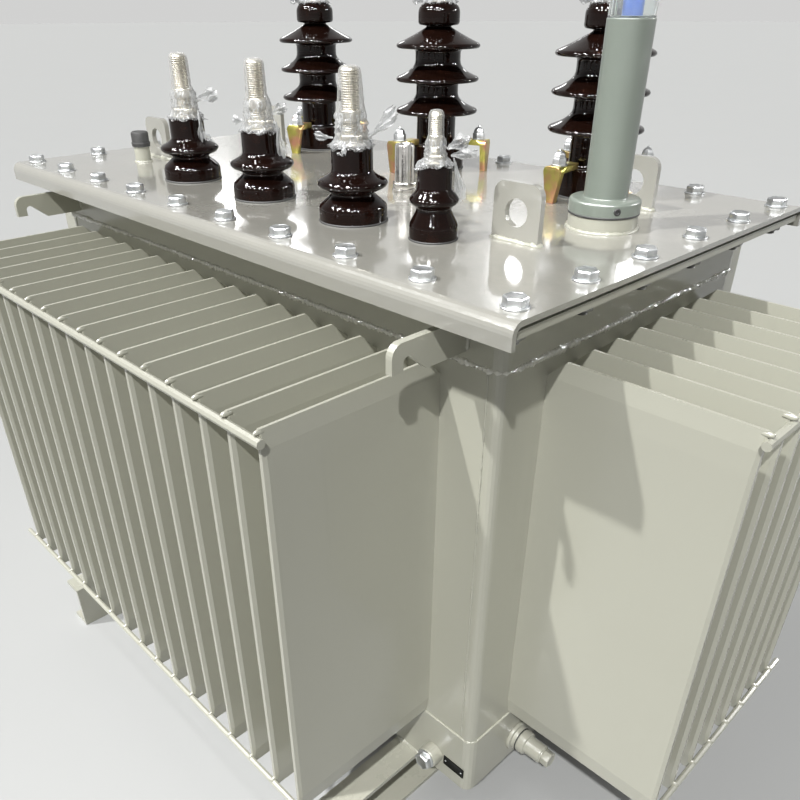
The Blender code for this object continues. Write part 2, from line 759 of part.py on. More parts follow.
def terminal(name, radius, height, across_flats, nut_height, place):
    """Make a terminal stud with the hexagon nut at its foot."""
    profile = [
        (0.0, height),
        (radius - EDGE, height),
        (radius, height - EDGE),
        (radius, 0.0),
        (0.0, 0.0),
    ]
    stud = turned(name, profile, TINNED, place, 12)
    mesh_data = bmesh.new()
    corner = across_flats / math.sqrt(3.0)
    matrix = Matrix.Translation(Vector(place) + Vector((0.0, 0.0, nut_height / 2)))
    add_cylinder(mesh_data, corner, nut_height, matrix, 6)
    boolean(stud, object_from_bmesh(f"{name}_nut", mesh_data, TINNED, CUTTERS), "UNION")


def build_lv_bushings():
    """Make the three phase bushings and the smaller neutral one, with their studs."""
    phase = lv_profile(
        LV_BASE_RADIUS,
        LV_BASE_HEIGHT,
        LV_WAIST_RADIUS,
        LV_WAIST_HEIGHT,
        LV_SHED_RADIUS,
        LV_SHED_HEIGHT,
        LV_COLLAR_RADIUS,
        LV_COLLAR_HEIGHT,
        LV_HEIGHT,
    )
    neutral = lv_profile(
        NEUTRAL_BASE_RADIUS,
        NEUTRAL_BASE_HEIGHT,
        NEUTRAL_WAIST_RADIUS,
        NEUTRAL_WAIST_HEIGHT,
        NEUTRAL_SHED_RADIUS,
        NEUTRAL_SHED_HEIGHT,
        NEUTRAL_COLLAR_RADIUS,
        NEUTRAL_COLLAR_HEIGHT,
        NEUTRAL_HEIGHT,
    )
    phase_stud = (LV_STUD_RADIUS, LV_STUD_HEIGHT, LV_NUT_ACROSS_FLATS, LV_NUT_HEIGHT)
    for x, letter in zip(LV_PHASE_X, "abc"):
        turned(f"lv_bushing_{letter}", phase, PORCELAIN, (x, LV_ROW_Y, COVER_SEAT))
        top = COVER_SEAT + LV_HEIGHT + CLEARANCE
        terminal(f"lv_terminal_{letter}", *phase_stud, (x, LV_ROW_Y, top))
    x = TANK_END - LV_NEUTRAL_RIGHT_INSET
    y = LV_NEUTRAL_FRONT_INSET - TANK_SIDE
    turned("lv_bushing_neutral", neutral, PORCELAIN, (x, y, COVER_SEAT))
    terminal(
        "lv_terminal_neutral",
        NEUTRAL_STUD_RADIUS,
        NEUTRAL_STUD_HEIGHT,
        NEUTRAL_NUT_ACROSS_FLATS,
        NEUTRAL_NUT_HEIGHT,
        (x, y, COVER_SEAT + NEUTRAL_HEIGHT + CLEARANCE),
    )


def hv_profile():
    """Return the profile of a high-voltage porcelain: head, neck, three sheds and foot."""
    head = HV_HEAD_RADIUS
    curve = HV_HEAD_ROUNDING
    glaze = 0.0020
    points = [(0.0, HV_HEIGHT)]
    points += reversed(arc((head - curve, HV_HEIGHT - curve), curve, 0, 90, 3))
    points += [(head - glaze, HV_HEAD_BOTTOM + glaze), (HV_NECK_RADIUS, HV_HEAD_BOTTOM - glaze)]
    inner = HV_NECK_RADIUS
    rise = HV_TOP_SHED_RISE
    for height, barrel in reversed(tuple(zip(HV_SHED_HEIGHTS, HV_BARREL_RADII))):
        underside = height - HV_SHED_RIM
        points += [
            (inner, height + rise),
            (HV_SHED_RADIUS - glaze, height),
            (HV_SHED_RADIUS, (height + underside) / 2),
            (HV_SHED_RADIUS - glaze, underside),
            (barrel, underside - glaze),
        ]
        inner = barrel
        rise = HV_SHED_RISE
    points += [
        (inner, HV_FOOT_HEIGHT),
        (HV_FOOT_RADIUS - EDGE, HV_FOOT_HEIGHT),
        (HV_FOOT_RADIUS, HV_FOOT_HEIGHT - EDGE),
        (HV_FOOT_RADIUS, 0.0),
        (0.0, 0.0),
    ]
    return points


def claw_side(arm_bottom):
    """Return a claw seen from its side, as (distance from the bushing's axis, height).

    It stands a little proud of the front's outline at the top and the toe, which trims it.
    """
    top = arm_bottom + CLAW_ARM_THICKNESS
    crown = top + EDGE / 2
    outer = CLAW_CIRCLE_RADIUS
    inner = outer - CLAW_LEG_THICKNESS
    arm_end = (HV_BARREL_RADII[0] + CLAW_RING_PLAY + HV_FOOT_RADIUS) / 2
    points = [(inner, -EDGE), (outer, -EDGE)]
    points += arc((outer - CLAW_ROUNDING, crown - CLAW_ROUNDING), CLAW_ROUNDING, 0, 90, 3)
    points += [(arm_end, top - EDGE), (arm_end, arm_bottom), (inner, arm_bottom)]
    return points


def claw_front(arm_bottom):
    """Return a claw seen from outside: a leg that widens from its toe to a rounded head."""
    top = arm_bottom + CLAW_ARM_THICKNESS
    half = CLAW_WIDTH / 2
    curve = CLAW_ROUNDING
    points = [(-CLAW_TOE_WIDTH / 2, 0.0), (CLAW_TOE_WIDTH / 2, 0.0)]
    points += arc((half - curve, top - curve), curve, 0, 90, 3)
    points += arc((-half + curve, top - curve), curve, 90, 180, 3)
    return points


def hv_claws(name, place, first_turn):
    """Make the ring on a porcelain's shoulder with its three claws and dome nuts."""
    ring_bottom = HV_FOOT_HEIGHT + CLEARANCE
    ring_top = ring_bottom + CLAW_RING_THICKNESS
    arm_bottom = ring_bottom + CLAW_ARM_LIFT
    inner = HV_BARREL_RADII[0] + CLAW_RING_PLAY
    outer = HV_FOOT_RADIUS - EDGE
    section = [(outer, ring_top), (outer, ring_bottom), (inner, ring_bottom), (inner, ring_top)]
    holder = turned(name, [*section, section[0]], YELLOW_ZINC, place)
    sides = bmesh.new()
    fronts = bmesh.new()
    upright = Matrix.Rotation(QUARTER_TURN, 4, "X")
    across = Matrix.Rotation(QUARTER_TURN, 4, "Z") @ upright
    nuts = []
    for index in range(CLAWS):
        turn = math.radians(first_turn) + math.tau * index / CLAWS
        around = Matrix.Translation(place) @ Matrix.Rotation(turn, 4, "Z")
        out = Matrix.Translation((CLAW_CIRCLE_RADIUS, 0.0, 0.0))
        width = CLAW_WIDTH + 2 * EDGE
        add_prism(sides, claw_side(arm_bottom), width, around @ upright)
        reach = 2 * (CLAW_CIRCLE_RADIUS - inner)
        add_prism(fronts, claw_front(arm_bottom), reach, around @ out @ across)
        nuts.append(around @ Vector((CLAW_CIRCLE_RADIUS - CLAW_NUT_INSET, 0.0, 0.0)))
    claws = object_from_bmesh(f"{name}_claws", sides, YELLOW_ZINC, CUTTERS)
    boolean(claws, object_from_bmesh(f"{name}_fronts", fronts, YELLOW_ZINC, CUTTERS), "INTERSECT")
    boolean(holder, claws, "UNION")
    seat = arm_bottom + CLAW_ARM_THICKNESS
    dome = CLAW_NUT_RADIUS - 2 * EDGE
    top = seat + CLAW_NUT_HEIGHT
    profile = [(0.0, top), *reversed(arc((0.0, top - dome), dome, 0, 60, 2))]
    profile += [(CLAW_NUT_RADIUS, top - dome - EDGE), (CLAW_NUT_RADIUS, seat - EDGE)]
    profile += [(0.0, seat - EDGE)]
    for index, spot in enumerate(nuts):
        nut = turned(f"{name}_nut_{index}", profile, YELLOW_ZINC, spot, NUT_STEPS, CUTTERS)
        boolean(holder, nut, "UNION")


def build_hv_bushings():
    """Make the three high-voltage bushings with their claws and studs."""
    profile = hv_profile()
    stud = (HV_STUD_RADIUS, HV_STUD_HEIGHT, HV_NUT_ACROSS_FLATS, HV_NUT_HEIGHT)
    for x, letter, turn in zip(HV_PHASE_X, "abc", CLAW_TURNS):
        place = (x, HV_ROW_Y, COVER_SEAT)
        turned(f"hv_bushing_{letter}", profile, PORCELAIN, place)
        hv_claws(f"hv_clamp_ring_{letter}", place, turn)
        top = COVER_SEAT + HV_HEIGHT + CLEARANCE
        terminal(f"hv_terminal_{letter}", *stud, (x, HV_ROW_Y, top))


def build_gauge():
    """Make the oil level gauge: pad, tube, sight glass, float rod and cap."""
    place = (TANK_END - GAUGE_INSET, GAUGE_Y)
    pad = [(0.0, GAUGE_PAD_HEIGHT), (GAUGE_PAD_RADIUS - EDGE, GAUGE_PAD_HEIGHT)]
    pad += [(GAUGE_PAD_RADIUS, GAUGE_PAD_HEIGHT - EDGE), (GAUGE_PAD_RADIUS, 0.0), (0.0, 0.0)]
    turned("gauge_pad", pad, ENAMEL, (*place, COVER_SEAT))
    foot = COVER_SEAT + GAUGE_PAD_HEIGHT + CLEARANCE
    top = GAUGE_TUBE_TOP - GAUGE_PAD_HEIGHT
    tube = [
        (0.0, top),
        (GAUGE_TUBE_RADIUS, top),
        (GAUGE_TUBE_RADIUS, GAUGE_FLANGE_HEIGHT + EDGE),
        (GAUGE_FLANGE_RADIUS - 3 * EDGE, GAUGE_FLANGE_HEIGHT),
        (GAUGE_FLANGE_RADIUS, GAUGE_FLANGE_HEIGHT - 3 * EDGE),
        (GAUGE_FLANGE_RADIUS, 0.0),
        (0.0, 0.0),
    ]
    turned("gauge_tube", tube, GAUGE_GREEN, (*place, foot))
    seat = foot + top + CLEARANCE
    bore = GAUGE_GLASS_RADIUS - GAUGE_GLASS_WALL
    glass = [
        (bore, GAUGE_GLASS_HEIGHT),
        (GAUGE_GLASS_RADIUS, GAUGE_GLASS_HEIGHT),
        (GAUGE_GLASS_RADIUS, 0.0),
        (bore, 0.0),
        (bore, GAUGE_GLASS_HEIGHT),
    ]
    turned("gauge_glass", glass, CLEAR, (*place, seat))
    rod = [
        (0.0, GAUGE_FLOAT_HEIGHT),
        (GAUGE_FLOAT_RADIUS, GAUGE_FLOAT_HEIGHT),
        (GAUGE_FLOAT_RADIUS, 0.0),
        (0.0, 0.0),
    ]
    turned("gauge_indicator", rod, BLUE, (*place, seat), 16)
    cap_radius = GAUGE_TUBE_RADIUS + GAUGE_CAP_OVERHANG
    cap = [(0.0, GAUGE_CAP_HEIGHT), (cap_radius - GAUGE_CAP_HEIGHT / 2, GAUGE_CAP_HEIGHT)]
    cap += [(cap_radius, GAUGE_CAP_HEIGHT / 2), (cap_radius, 0.0), (0.0, 0.0)]
    turned("gauge_cap", cap, GAUGE_GREEN, (*place, seat + GAUGE_GLASS_HEIGHT + CLEARANCE))


def build_cover_fittings():
    """Make the tap changer housing and the filler stub with its rubber cap."""
    tap = [
        (0.0, TAP_HEIGHT),
        (TAP_RADIUS - 2 * EDGE, TAP_HEIGHT),
        (TAP_RADIUS, TAP_HEIGHT - 2 * EDGE),
        (TAP_RADIUS, TAP_COLLAR_HEIGHT),
        (TAP_COLLAR_RADIUS - EDGE, TAP_COLLAR_HEIGHT),
        (TAP_COLLAR_RADIUS, TAP_COLLAR_HEIGHT - EDGE),
        (TAP_COLLAR_RADIUS, 0.0),
        (0.0, 0.0),
    ]
    turned("tap_changer", tap, POLISHED, (TAP_X, TAP_Y, COVER_SEAT))
    place = (FILLER_LEFT_INSET - TANK_END, FILLER_FRONT_INSET - TANK_SIDE)
    stub = [(0.0, FILLER_HEIGHT), (FILLER_RADIUS, FILLER_HEIGHT)]
    stub += [(FILLER_RADIUS, 0.0), (0.0, 0.0)]
    turned("filler_stub", stub, ENAMEL, (*place, COVER_SEAT), 18)
    cap = [
        (0.0, FILLER_CAP_HEIGHT),
        (FILLER_CAP_RADIUS - 2 * EDGE, FILLER_CAP_HEIGHT),
        (FILLER_CAP_RADIUS, FILLER_CAP_HEIGHT - 2 * EDGE),
        (FILLER_CAP_RADIUS, 0.0),
        (0.0, 0.0),
    ]
    top = COVER_SEAT + FILLER_HEIGHT + CLEARANCE
    turned("filler_cap", cap, RUBBER, (*place, top), 18)


def build_earth_boss():
    """Make the earthing boss on the front of the skirt with its bolt."""
    x = TANK_END - EARTH_INSET
    face = -TANK_SIDE - SKIRT_STEP - CLEARANCE
    height = TANK_BOTTOM + EARTH_HEIGHT
    washer_top = EARTH_BOSS_LENGTH + EARTH_WASHER_THICKNESS
    profile = [
        (0.0, washer_top),
        (EARTH_WASHER_RADIUS, washer_top),
        (EARTH_WASHER_RADIUS, EARTH_BOSS_LENGTH),
        (EARTH_BOSS_RADIUS - EDGE, EARTH_BOSS_LENGTH),
        (EARTH_BOSS_RADIUS, EARTH_BOSS_LENGTH - EDGE),
        (EARTH_BOSS_RADIUS, 0.0),
        (0.0, 0.0),
    ]
    boss = turned("earthing_boss", profile, GALVANISED, (x, face, height), 18)
    boss.rotation_euler = (QUARTER_TURN, 0.0, 0.0)
    mesh_data = bmesh.new()
    middle = (x, face - washer_top - EARTH_BOLT_HEAD / 2 + EDGE / 2, height)
    matrix = Matrix.Translation(middle) @ Matrix.Rotation(QUARTER_TURN, 4, "X")
    corner = EARTH_BOLT_ACROSS_FLATS / math.sqrt(3.0)
    add_cylinder(mesh_data, corner, EARTH_BOLT_HEAD + EDGE, matrix, 6)
    head = object_from_bmesh("earthing_bolt_head", mesh_data, GALVANISED, CUTTERS)
    boolean(boss, head, "UNION")


def build_drain_valve():
    """Make the drain valve on the right of the skirt: disc, body, neck and cap."""
    body_end = VALVE_DISC_THICKNESS + VALVE_BODY_LENGTH
    neck_end = body_end + VALVE_NECK_LENGTH
    end = neck_end + VALVE_CAP_LENGTH
    profile = [
        (0.0, end),
        (VALVE_CAP_RADIUS - EDGE, end),
        (VALVE_CAP_RADIUS, end - EDGE),
        (VALVE_CAP_RADIUS, neck_end),
        (VALVE_NECK_RADIUS, neck_end),
        (VALVE_NECK_RADIUS, body_end),
        (VALVE_BODY_RADIUS - EDGE, body_end),
        (VALVE_BODY_RADIUS, body_end - EDGE),
        (VALVE_BODY_RADIUS, VALVE_DISC_THICKNESS),
        (VALVE_DISC_RADIUS, VALVE_DISC_THICKNESS),
        (VALVE_DISC_RADIUS, 0.0),
        (0.0, 0.0),
    ]
    place = (
        TANK_END + SKIRT_STEP + CLEARANCE,
        VALVE_FRONT_INSET - TANK_SIDE,
        TANK_BOTTOM + VALVE_HEIGHT,
    )
    valve = turned("drain_valve", profile, ENAMEL, place, 18)
    valve.rotation_euler = (0.0, QUARTER_TURN, 0.0)


build_skids()
build_base()
build_walls()
build_top_frame()
build_cover()
build_hooks()
build_lugs()
build_lv_bushings()
build_hv_bushings()
build_gauge()
build_cover_fittings()
build_earth_boss()
build_drain_valve()
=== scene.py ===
"""Looks of a sealed oil-filled distribution transformer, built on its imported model.

Metres, +Z up.  The origin is on the floor under the middle of the tank, +X runs along the
long side and the low-voltage side faces -Y.
"""

from __future__ import annotations

import json
import logging
import math
from collections.abc import Callable, Sequence
from dataclasses import dataclass
from enum import Enum

import bmesh
import bpy
from mathutils import Matrix, Vector, noise

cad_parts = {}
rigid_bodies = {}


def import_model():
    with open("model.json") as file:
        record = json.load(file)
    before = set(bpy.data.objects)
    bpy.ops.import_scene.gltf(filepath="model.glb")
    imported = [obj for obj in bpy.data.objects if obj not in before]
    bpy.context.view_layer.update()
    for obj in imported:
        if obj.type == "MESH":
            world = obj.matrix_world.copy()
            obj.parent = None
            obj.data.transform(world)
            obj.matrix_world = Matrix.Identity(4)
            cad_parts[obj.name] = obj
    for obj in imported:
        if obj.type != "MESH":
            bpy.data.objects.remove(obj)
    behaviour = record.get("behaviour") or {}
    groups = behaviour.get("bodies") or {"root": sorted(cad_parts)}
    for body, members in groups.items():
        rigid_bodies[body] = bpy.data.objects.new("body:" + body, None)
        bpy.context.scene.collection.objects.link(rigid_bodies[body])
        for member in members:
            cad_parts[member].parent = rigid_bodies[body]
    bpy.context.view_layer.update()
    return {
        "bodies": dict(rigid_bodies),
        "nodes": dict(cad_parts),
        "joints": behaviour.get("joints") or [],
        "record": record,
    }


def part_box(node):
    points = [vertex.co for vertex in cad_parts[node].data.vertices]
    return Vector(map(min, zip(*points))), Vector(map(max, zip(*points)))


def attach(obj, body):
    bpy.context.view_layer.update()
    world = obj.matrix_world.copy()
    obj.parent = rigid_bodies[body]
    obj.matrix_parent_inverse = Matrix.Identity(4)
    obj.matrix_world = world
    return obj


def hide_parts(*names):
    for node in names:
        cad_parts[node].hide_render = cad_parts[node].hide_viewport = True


LOG = logging.getLogger("transformer")
BODY = "root"
FACING = 0.9
LEAST_ROUNDING = 1e-5
SAME_SIZE = 1e-6
CORNERS = ("front_right", "front_left", "back_right", "back_left")
PHASES = ("a", "b", "c")
Point = tuple[float, float, float]
Colour = tuple[float, float, float]
Ring = tuple[float, float]


# Shader graphs


class Graph:
    """Adds and joins shader nodes in one node tree."""

    def __init__(self, tree: bpy.types.NodeTree) -> None:
        """Keep the tree that the nodes go into."""
        self.tree = tree

    def give(self, socket: bpy.types.NodeSocket, value: object) -> None:
        """Set an input to a plain value, or join an output to it."""
        if isinstance(value, bpy.types.NodeSocket):
            self.tree.links.new(value, socket)
        else:
            socket.default_value = value

    def feed(self, node: bpy.types.Node, values: dict[str | int, object]) -> bpy.types.Node:
        """Give each named input of a node its value or socket, and return the node."""
        for key, value in values.items():
            self.give(node.inputs[key], value)
        return node

    def node(self, kind: str, values: dict[str | int, object] | None = None,
             **settings: object) -> bpy.types.Node:
        """Add a node.

        Args:
            kind: Blender's name for the node's type.
            values: what each input takes: a plain value, or a socket to join.
            settings: the node's own settings.

        Returns:
            The new node.
        """
        made = self.tree.nodes.new(kind)
        for key, value in settings.items():
            setattr(made, key, value)
        return self.feed(made, values or {})

    def math(self, operation: str, *inputs: object) -> bpy.types.NodeSocket:
        """Add a Math node and return its output."""
        made = self.node("ShaderNodeMath", dict(enumerate(inputs)), operation=operation)
        return made.outputs[0]

    def ramp(self, value: object, low: float, high: float, out_low: float = 0.0,
             out_high: float = 1.0) -> bpy.types.NodeSocket:
        """Spread a value between two limits, clamped, and return the result."""
        made = self.node(
            "ShaderNodeMapRange",
            {"Value": value, "From Min": low, "From Max": high, "To Min": out_low,
             "To Max": out_high},
            interpolation_type="SMOOTHSTEP",
        )
        return made.outputs["Result"]

    def noise(self, vector: object, scale: object, detail: float = 3.0,
              roughness: float = 0.55, distortion: float = 0.0) -> bpy.types.NodeSocket:
        """Add a Noise texture and return its value."""
        made = self.node("ShaderNodeTexNoise",
                         {"Vector": vector, "Scale": scale, "Detail": detail,
                          "Roughness": roughness, "Distortion": distortion})
        return made.outputs[0]

    def stretched(self, vector: object, scale: Point) -> bpy.types.NodeSocket:
        """Scale coordinates by axis and return them."""
        made = self.node("ShaderNodeMapping", {"Vector": vector, "Scale": scale})
        return made.outputs["Vector"]

    def mix(self, share: object, first: object, second: object) -> bpy.types.NodeSocket:
        """Mix two colours and return the result."""
        made = self.node("ShaderNodeMix", data_type="RGBA")
        for name, value in (("Factor", share), ("A", first), ("B", second)):
            sockets = [s for s in made.inputs if s.name == name and s.enabled]
            self.give(sockets[0 if name == "Factor" else -1], value)
        return next(s for s in made.outputs if s.name == "Result" and s.enabled)

    def shown_rays(self) -> bpy.types.NodeSocket:
        """Return 1 for what is seen directly, mirrored or through glass, 0 for stray light."""
        paths = self.node("ShaderNodeLightPath").outputs
        seen = self.math("MAXIMUM", paths["Is Camera Ray"], paths["Is Transmission Ray"])
        return self.math("MAXIMUM", seen, paths["Is Glossy Ray"])


def rgba(colour: Colour) -> tuple[float, float, float, float]:
    """Add a full alpha to a colour."""
    return (*colour, 1.0)


class Effect(Enum):
    """The shader effects that several finishes share."""

    ORANGE_PEEL = "orange_peel"
    SETTLED_DUST = "settled_dust"
    STREAKS = "streaks"
    SPANGLE = "spangle"
    HANDLING = "handling"


class EffectGroup(Graph):
    """A shader node group that takes coordinates and numbers, and puts out numbers."""

    def __init__(self, effect: Effect, **inputs: float) -> None:
        """Start the group.

        Args:
            effect: the effect that the group makes.
            inputs: the numbers that it takes, each with its usual value.
        """
        super().__init__(bpy.data.node_groups.new(effect.value, "ShaderNodeTree"))
        sockets = self.tree.interface
        sockets.new_socket("Vector", in_out="INPUT", socket_type="NodeSocketVector")
        for name, value in inputs.items():
            made = sockets.new_socket(name, in_out="INPUT", socket_type="NodeSocketFloat")
            made.default_value = value
        self.given = self.node("NodeGroupInput").outputs
        self.vector = self.given["Vector"]

    def close(self, **outputs: bpy.types.NodeSocket) -> bpy.types.NodeTree:
        """Put out the named numbers and return the finished group."""
        for name in outputs:
            self.tree.interface.new_socket(name, in_out="OUTPUT", socket_type="NodeSocketFloat")
        self.node("NodeGroupOutput", outputs)
        return self.tree


class Effects:
    """Builds each shared effect once as a node group."""

    def __init__(self) -> None:
        """Build all the groups."""
        self.groups: dict[Effect, bpy.types.NodeTree] = {
            Effect.ORANGE_PEEL: self._orange_peel(),
            Effect.SETTLED_DUST: self._settled_dust(),
            Effect.STREAKS: self._streaks(),
            Effect.SPANGLE: self._spangle(),
            Effect.HANDLING: self._handling(),
        }

    @staticmethod
    def _orange_peel() -> bpy.types.NodeTree:
        """Sprayed paint: a fine dimpled skin over slow waves of the sheet."""
        group = EffectGroup(Effect.ORANGE_PEEL, Scale=260.0, Waves=0.5)
        fine = group.noise(group.vector, group.given["Scale"], 2.0, 0.5)
        waves = group.math("MULTIPLY", group.noise(group.vector, 9.0, 1.0),
                           group.given["Waves"])
        return group.close(Height=group.math("ADD", fine, waves))

    @staticmethod
    def _settled_dust() -> bpy.types.NodeTree:
        """Dust that lies on upward faces in soft patches."""
        group = EffectGroup(Effect.SETTLED_DUST, Amount=0.4, Scale=14.0)
        normal = group.node("ShaderNodeNewGeometry").outputs["Normal"]
        upward = group.node("ShaderNodeSeparateXYZ", {0: normal}).outputs["Z"]
        patches = group.noise(group.vector, group.given["Scale"], 6.0, 0.7)
        cover = group.math("MULTIPLY", group.ramp(upward, 0.3, 0.95),
                           group.ramp(patches, 0.38, 0.72))
        return group.close(Mask=group.math("MULTIPLY", cover, group.given["Amount"]))

    @staticmethod
    def _streaks() -> bpy.types.NodeTree:
        """Faint runs down upright faces."""
        group = EffectGroup(Effect.STREAKS, Amount=0.3)
        long = group.stretched(group.vector, (42.0, 42.0, 1.6))
        lines = group.ramp(group.noise(long, 1.0, 4.0, 0.6), 0.52, 0.78)
        breaks = group.ramp(group.noise(group.vector, 3.5, 2.0), 0.40, 0.62)
        runs = group.math("MULTIPLY", lines, breaks)
        return group.close(Mask=group.math("MULTIPLY", runs, group.given["Amount"]))

    @staticmethod
    def _spangle() -> bpy.types.NodeTree:
        """The crystal flakes and fine pits of hot-dip zinc and plating."""
        group = EffectGroup(Effect.SPANGLE, Scale=420.0)
        cells = group.node("ShaderNodeTexVoronoi", {"Vector": group.vector,
                                                    "Scale": group.given["Scale"]})
        tone = group.node("ShaderNodeSeparateColor", {0: cells.outputs["Color"]})
        pits = group.noise(group.vector, group.given["Scale"], 3.0, 0.5)
        return group.close(Mask=tone.outputs[0], Height=pits)

    @staticmethod
    def _handling() -> bpy.types.NodeTree:
        """Smears and finger marks that dull a gloss in places."""
        group = EffectGroup(Effect.HANDLING, Amount=0.5, Scale=5.0)
        broad = group.noise(group.vector, group.given["Scale"], 5.0, 0.65, 0.8)
        mask = group.ramp(broad, 0.45, 0.70)
        return group.close(Mask=group.math("MULTIPLY", mask, group.given["Amount"]))


# Finishes


class PaintJob(Graph):
    """One material in the making: its nodes, its shader and the shared effects."""

    def __init__(self, finish: Finish, effects: Effects) -> None:
        """Start the material with the finish's plain values.

        Args:
            finish: the finish that the material shows.
            effects: the shared effects.
        """
        self.material = bpy.data.materials.new(finish.name)
        self.material.use_nodes = True
        self.material.diffuse_color = rgba(finish.colour)
        super().__init__(self.material.node_tree)
        self.effects = effects
        self.shader = self.tree.nodes["Principled BSDF"]
        self.shade({"Base Color": rgba(finish.colour), "Roughness": finish.roughness,
                    "Metallic": finish.metallic})
        self.where = self.node("ShaderNodeTexCoord").outputs["Object"]

    def shade(self, values: dict[str, object]) -> None:
        """Give inputs of the shader their values or sockets."""
        self.feed(self.shader, values)

    def effect(self, effect: Effect, **values: float) -> bpy.types.bpy_prop_collection:
        """Place a shared effect.

        Args:
            effect: which effect.
            values: its inputs by name.

        Returns:
            The outputs of its group node.
        """
        made = self.node("ShaderNodeGroup")
        made.node_tree = self.effects.groups[effect]
        self.feed(made, {"Vector": self.where})
        self.feed(made, {name.title(): value for name, value in values.items()})
        return made.outputs

    def patches(self, scale: float, detail: float, low: float, high: float, most: float,
                roughness: float = 0.55) -> bpy.types.NodeSocket:
        """Return soft patches: noise that rises from nothing at low to its most at high."""
        return self.ramp(self.noise(self.where, scale, detail, roughness), low, high, 0.0, most)

    def dulled(self, mask: object, share: float, gloss: object) -> bpy.types.NodeSocket:
        """Return a roughness that grows from its own value by a share of a mask."""
        return self.math("MULTIPLY_ADD", mask, share, gloss)

    def bump(self, height: object, strength: float, distance: float) -> None:
        """Feed a height to the shader's normal."""
        made = self.node("ShaderNodeBump", {"Height": height, "Strength": strength,
                                            "Distance": distance})
        self.shade({"Normal": made.outputs["Normal"]})

    def skin(self, strength: float, distance: float, scale: float, waves: float) -> None:
        """Dimple the surface as sprayed paint, glaze or moulded plastic is."""
        peel = self.effect(Effect.ORANGE_PEEL, scale=scale, waves=waves)
        self.bump(peel["Height"], strength, distance)


@dataclass(frozen=True)
class Finish:
    """A surface finish; each kind adds its own detail to a Principled shader."""

    name: str
    colour: Colour
    roughness: float
    metallic: float = 0.0

    def build(self, effects: Effects) -> bpy.types.Material:
        """Make the material with the shared effects and return it."""
        job = PaintJob(self, effects)
        self.dress(job)
        return job.material

    def dress(self, job: PaintJob) -> None:
        """Add the detail that this kind of finish has."""


@dataclass(frozen=True)
class SprayedEnamel(Finish):
    """Glossy sprayed enamel with orange peel, faint runs, smears and a little dust."""

    shade: Colour = (0.38, 0.37, 0.31)
    tone: float = 0.16
    runs: float = 0.14
    smears: float = 0.3
    smear_dulling: float = 0.03
    dust: float = 0.16
    dust_colour: Colour = (0.52, 0.49, 0.44)
    dust_dulling: float = 0.35
    coat: float = 0.6
    coat_roughness: float = 0.06
    waves: float = 0.5
    peel: float = 0.10
    peel_scale: float = 240.0
    peel_depth: float = 0.0008

    def dress(self, job: PaintJob) -> None:
        """Add clear gloss, tone, dust and the sprayed skin."""
        runs = job.effect(Effect.STREAKS, amount=self.runs)["Mask"]
        dust = job.effect(Effect.SETTLED_DUST, amount=self.dust)["Mask"]
        smears = job.effect(Effect.HANDLING, amount=self.smears)["Mask"]
        tone = job.patches(2.3, 3.0, 0.3, 0.7, self.tone)
        base = job.mix(tone, rgba(self.colour), rgba(self.shade))
        stained = job.mix(runs, base, rgba(self.shade))
        gloss = job.dulled(smears, self.smear_dulling, self.roughness)
        job.shade({"Coat Weight": self.coat, "Coat Roughness": self.coat_roughness,
                   "Base Color": job.mix(dust, stained, rgba(self.dust_colour)),
                   "Roughness": job.dulled(dust, self.dust_dulling, gloss)})
        job.skin(self.peel, self.peel_depth, self.peel_scale, self.waves)


@dataclass(frozen=True)
class GlazedPorcelain(Finish):
    """Dark brown glaze: gloss over a body mottled with a thinner, lighter brown."""

    thin: Colour = (0.10, 0.034, 0.018)
    mottling: float = 0.55
    band_stretch: Point = (1.0, 1.0, 90.0)
    dust: float = 0.14
    dust_scale: float = 60.0
    dust_dulling: float = 0.5
    ior: float = 1.45
    specular: float = 0.25

    def dress(self, job: PaintJob) -> None:
        """Add the glaze's mottling, slow waves and gloss."""
        mottle = job.patches(34.0, 5.0, 0.50, 0.80, self.mottling, 0.6)
        bands = job.noise(job.stretched(job.where, self.band_stretch), 2.0, 2.0)
        tone = job.math("MULTIPLY", mottle, job.ramp(bands, 0.3, 0.7, 0.4, 1.0))
        dust = job.effect(Effect.SETTLED_DUST, amount=self.dust, scale=self.dust_scale)
        job.shade({"IOR": self.ior, "Specular IOR Level": self.specular,
                   "Base Color": job.mix(tone, rgba(self.colour), rgba(self.thin)),
                   "Roughness": job.dulled(dust["Mask"], self.dust_dulling, self.roughness)})
        job.skin(0.07, 0.0010, scale=90.0, waves=0.4)


@dataclass(frozen=True)
class PlatedMetal(Finish):
    """Zinc, tin or polished steel, with flakes, pits and a second tint in places."""

    tint: Colour = (0.5, 0.5, 0.5)
    tint_scale: float = 60.0
    tint_share: float = 0.6
    flakes: float = 420.0
    flake_tint: float = 0.18
    flake_dulling: float = 0.14
    relief: float = 0.12
    relief_depth: float = 0.0004

    def dress(self, job: PaintJob) -> None:
        """Add the plating's flakes, tints and pits."""
        grain = job.effect(Effect.SPANGLE, scale=self.flakes)
        patches = job.patches(self.tint_scale, 3.0, 0.38, 0.66, self.tint_share)
        flecked = job.math("MULTIPLY_ADD", grain["Mask"], self.flake_tint, patches)
        job.shade({"Base Color": job.mix(flecked, rgba(self.colour), rgba(self.tint)),
                   "Roughness": job.dulled(grain["Mask"], self.flake_dulling,
                                           self.roughness)})
        job.bump(grain["Height"], self.relief, self.relief_depth)


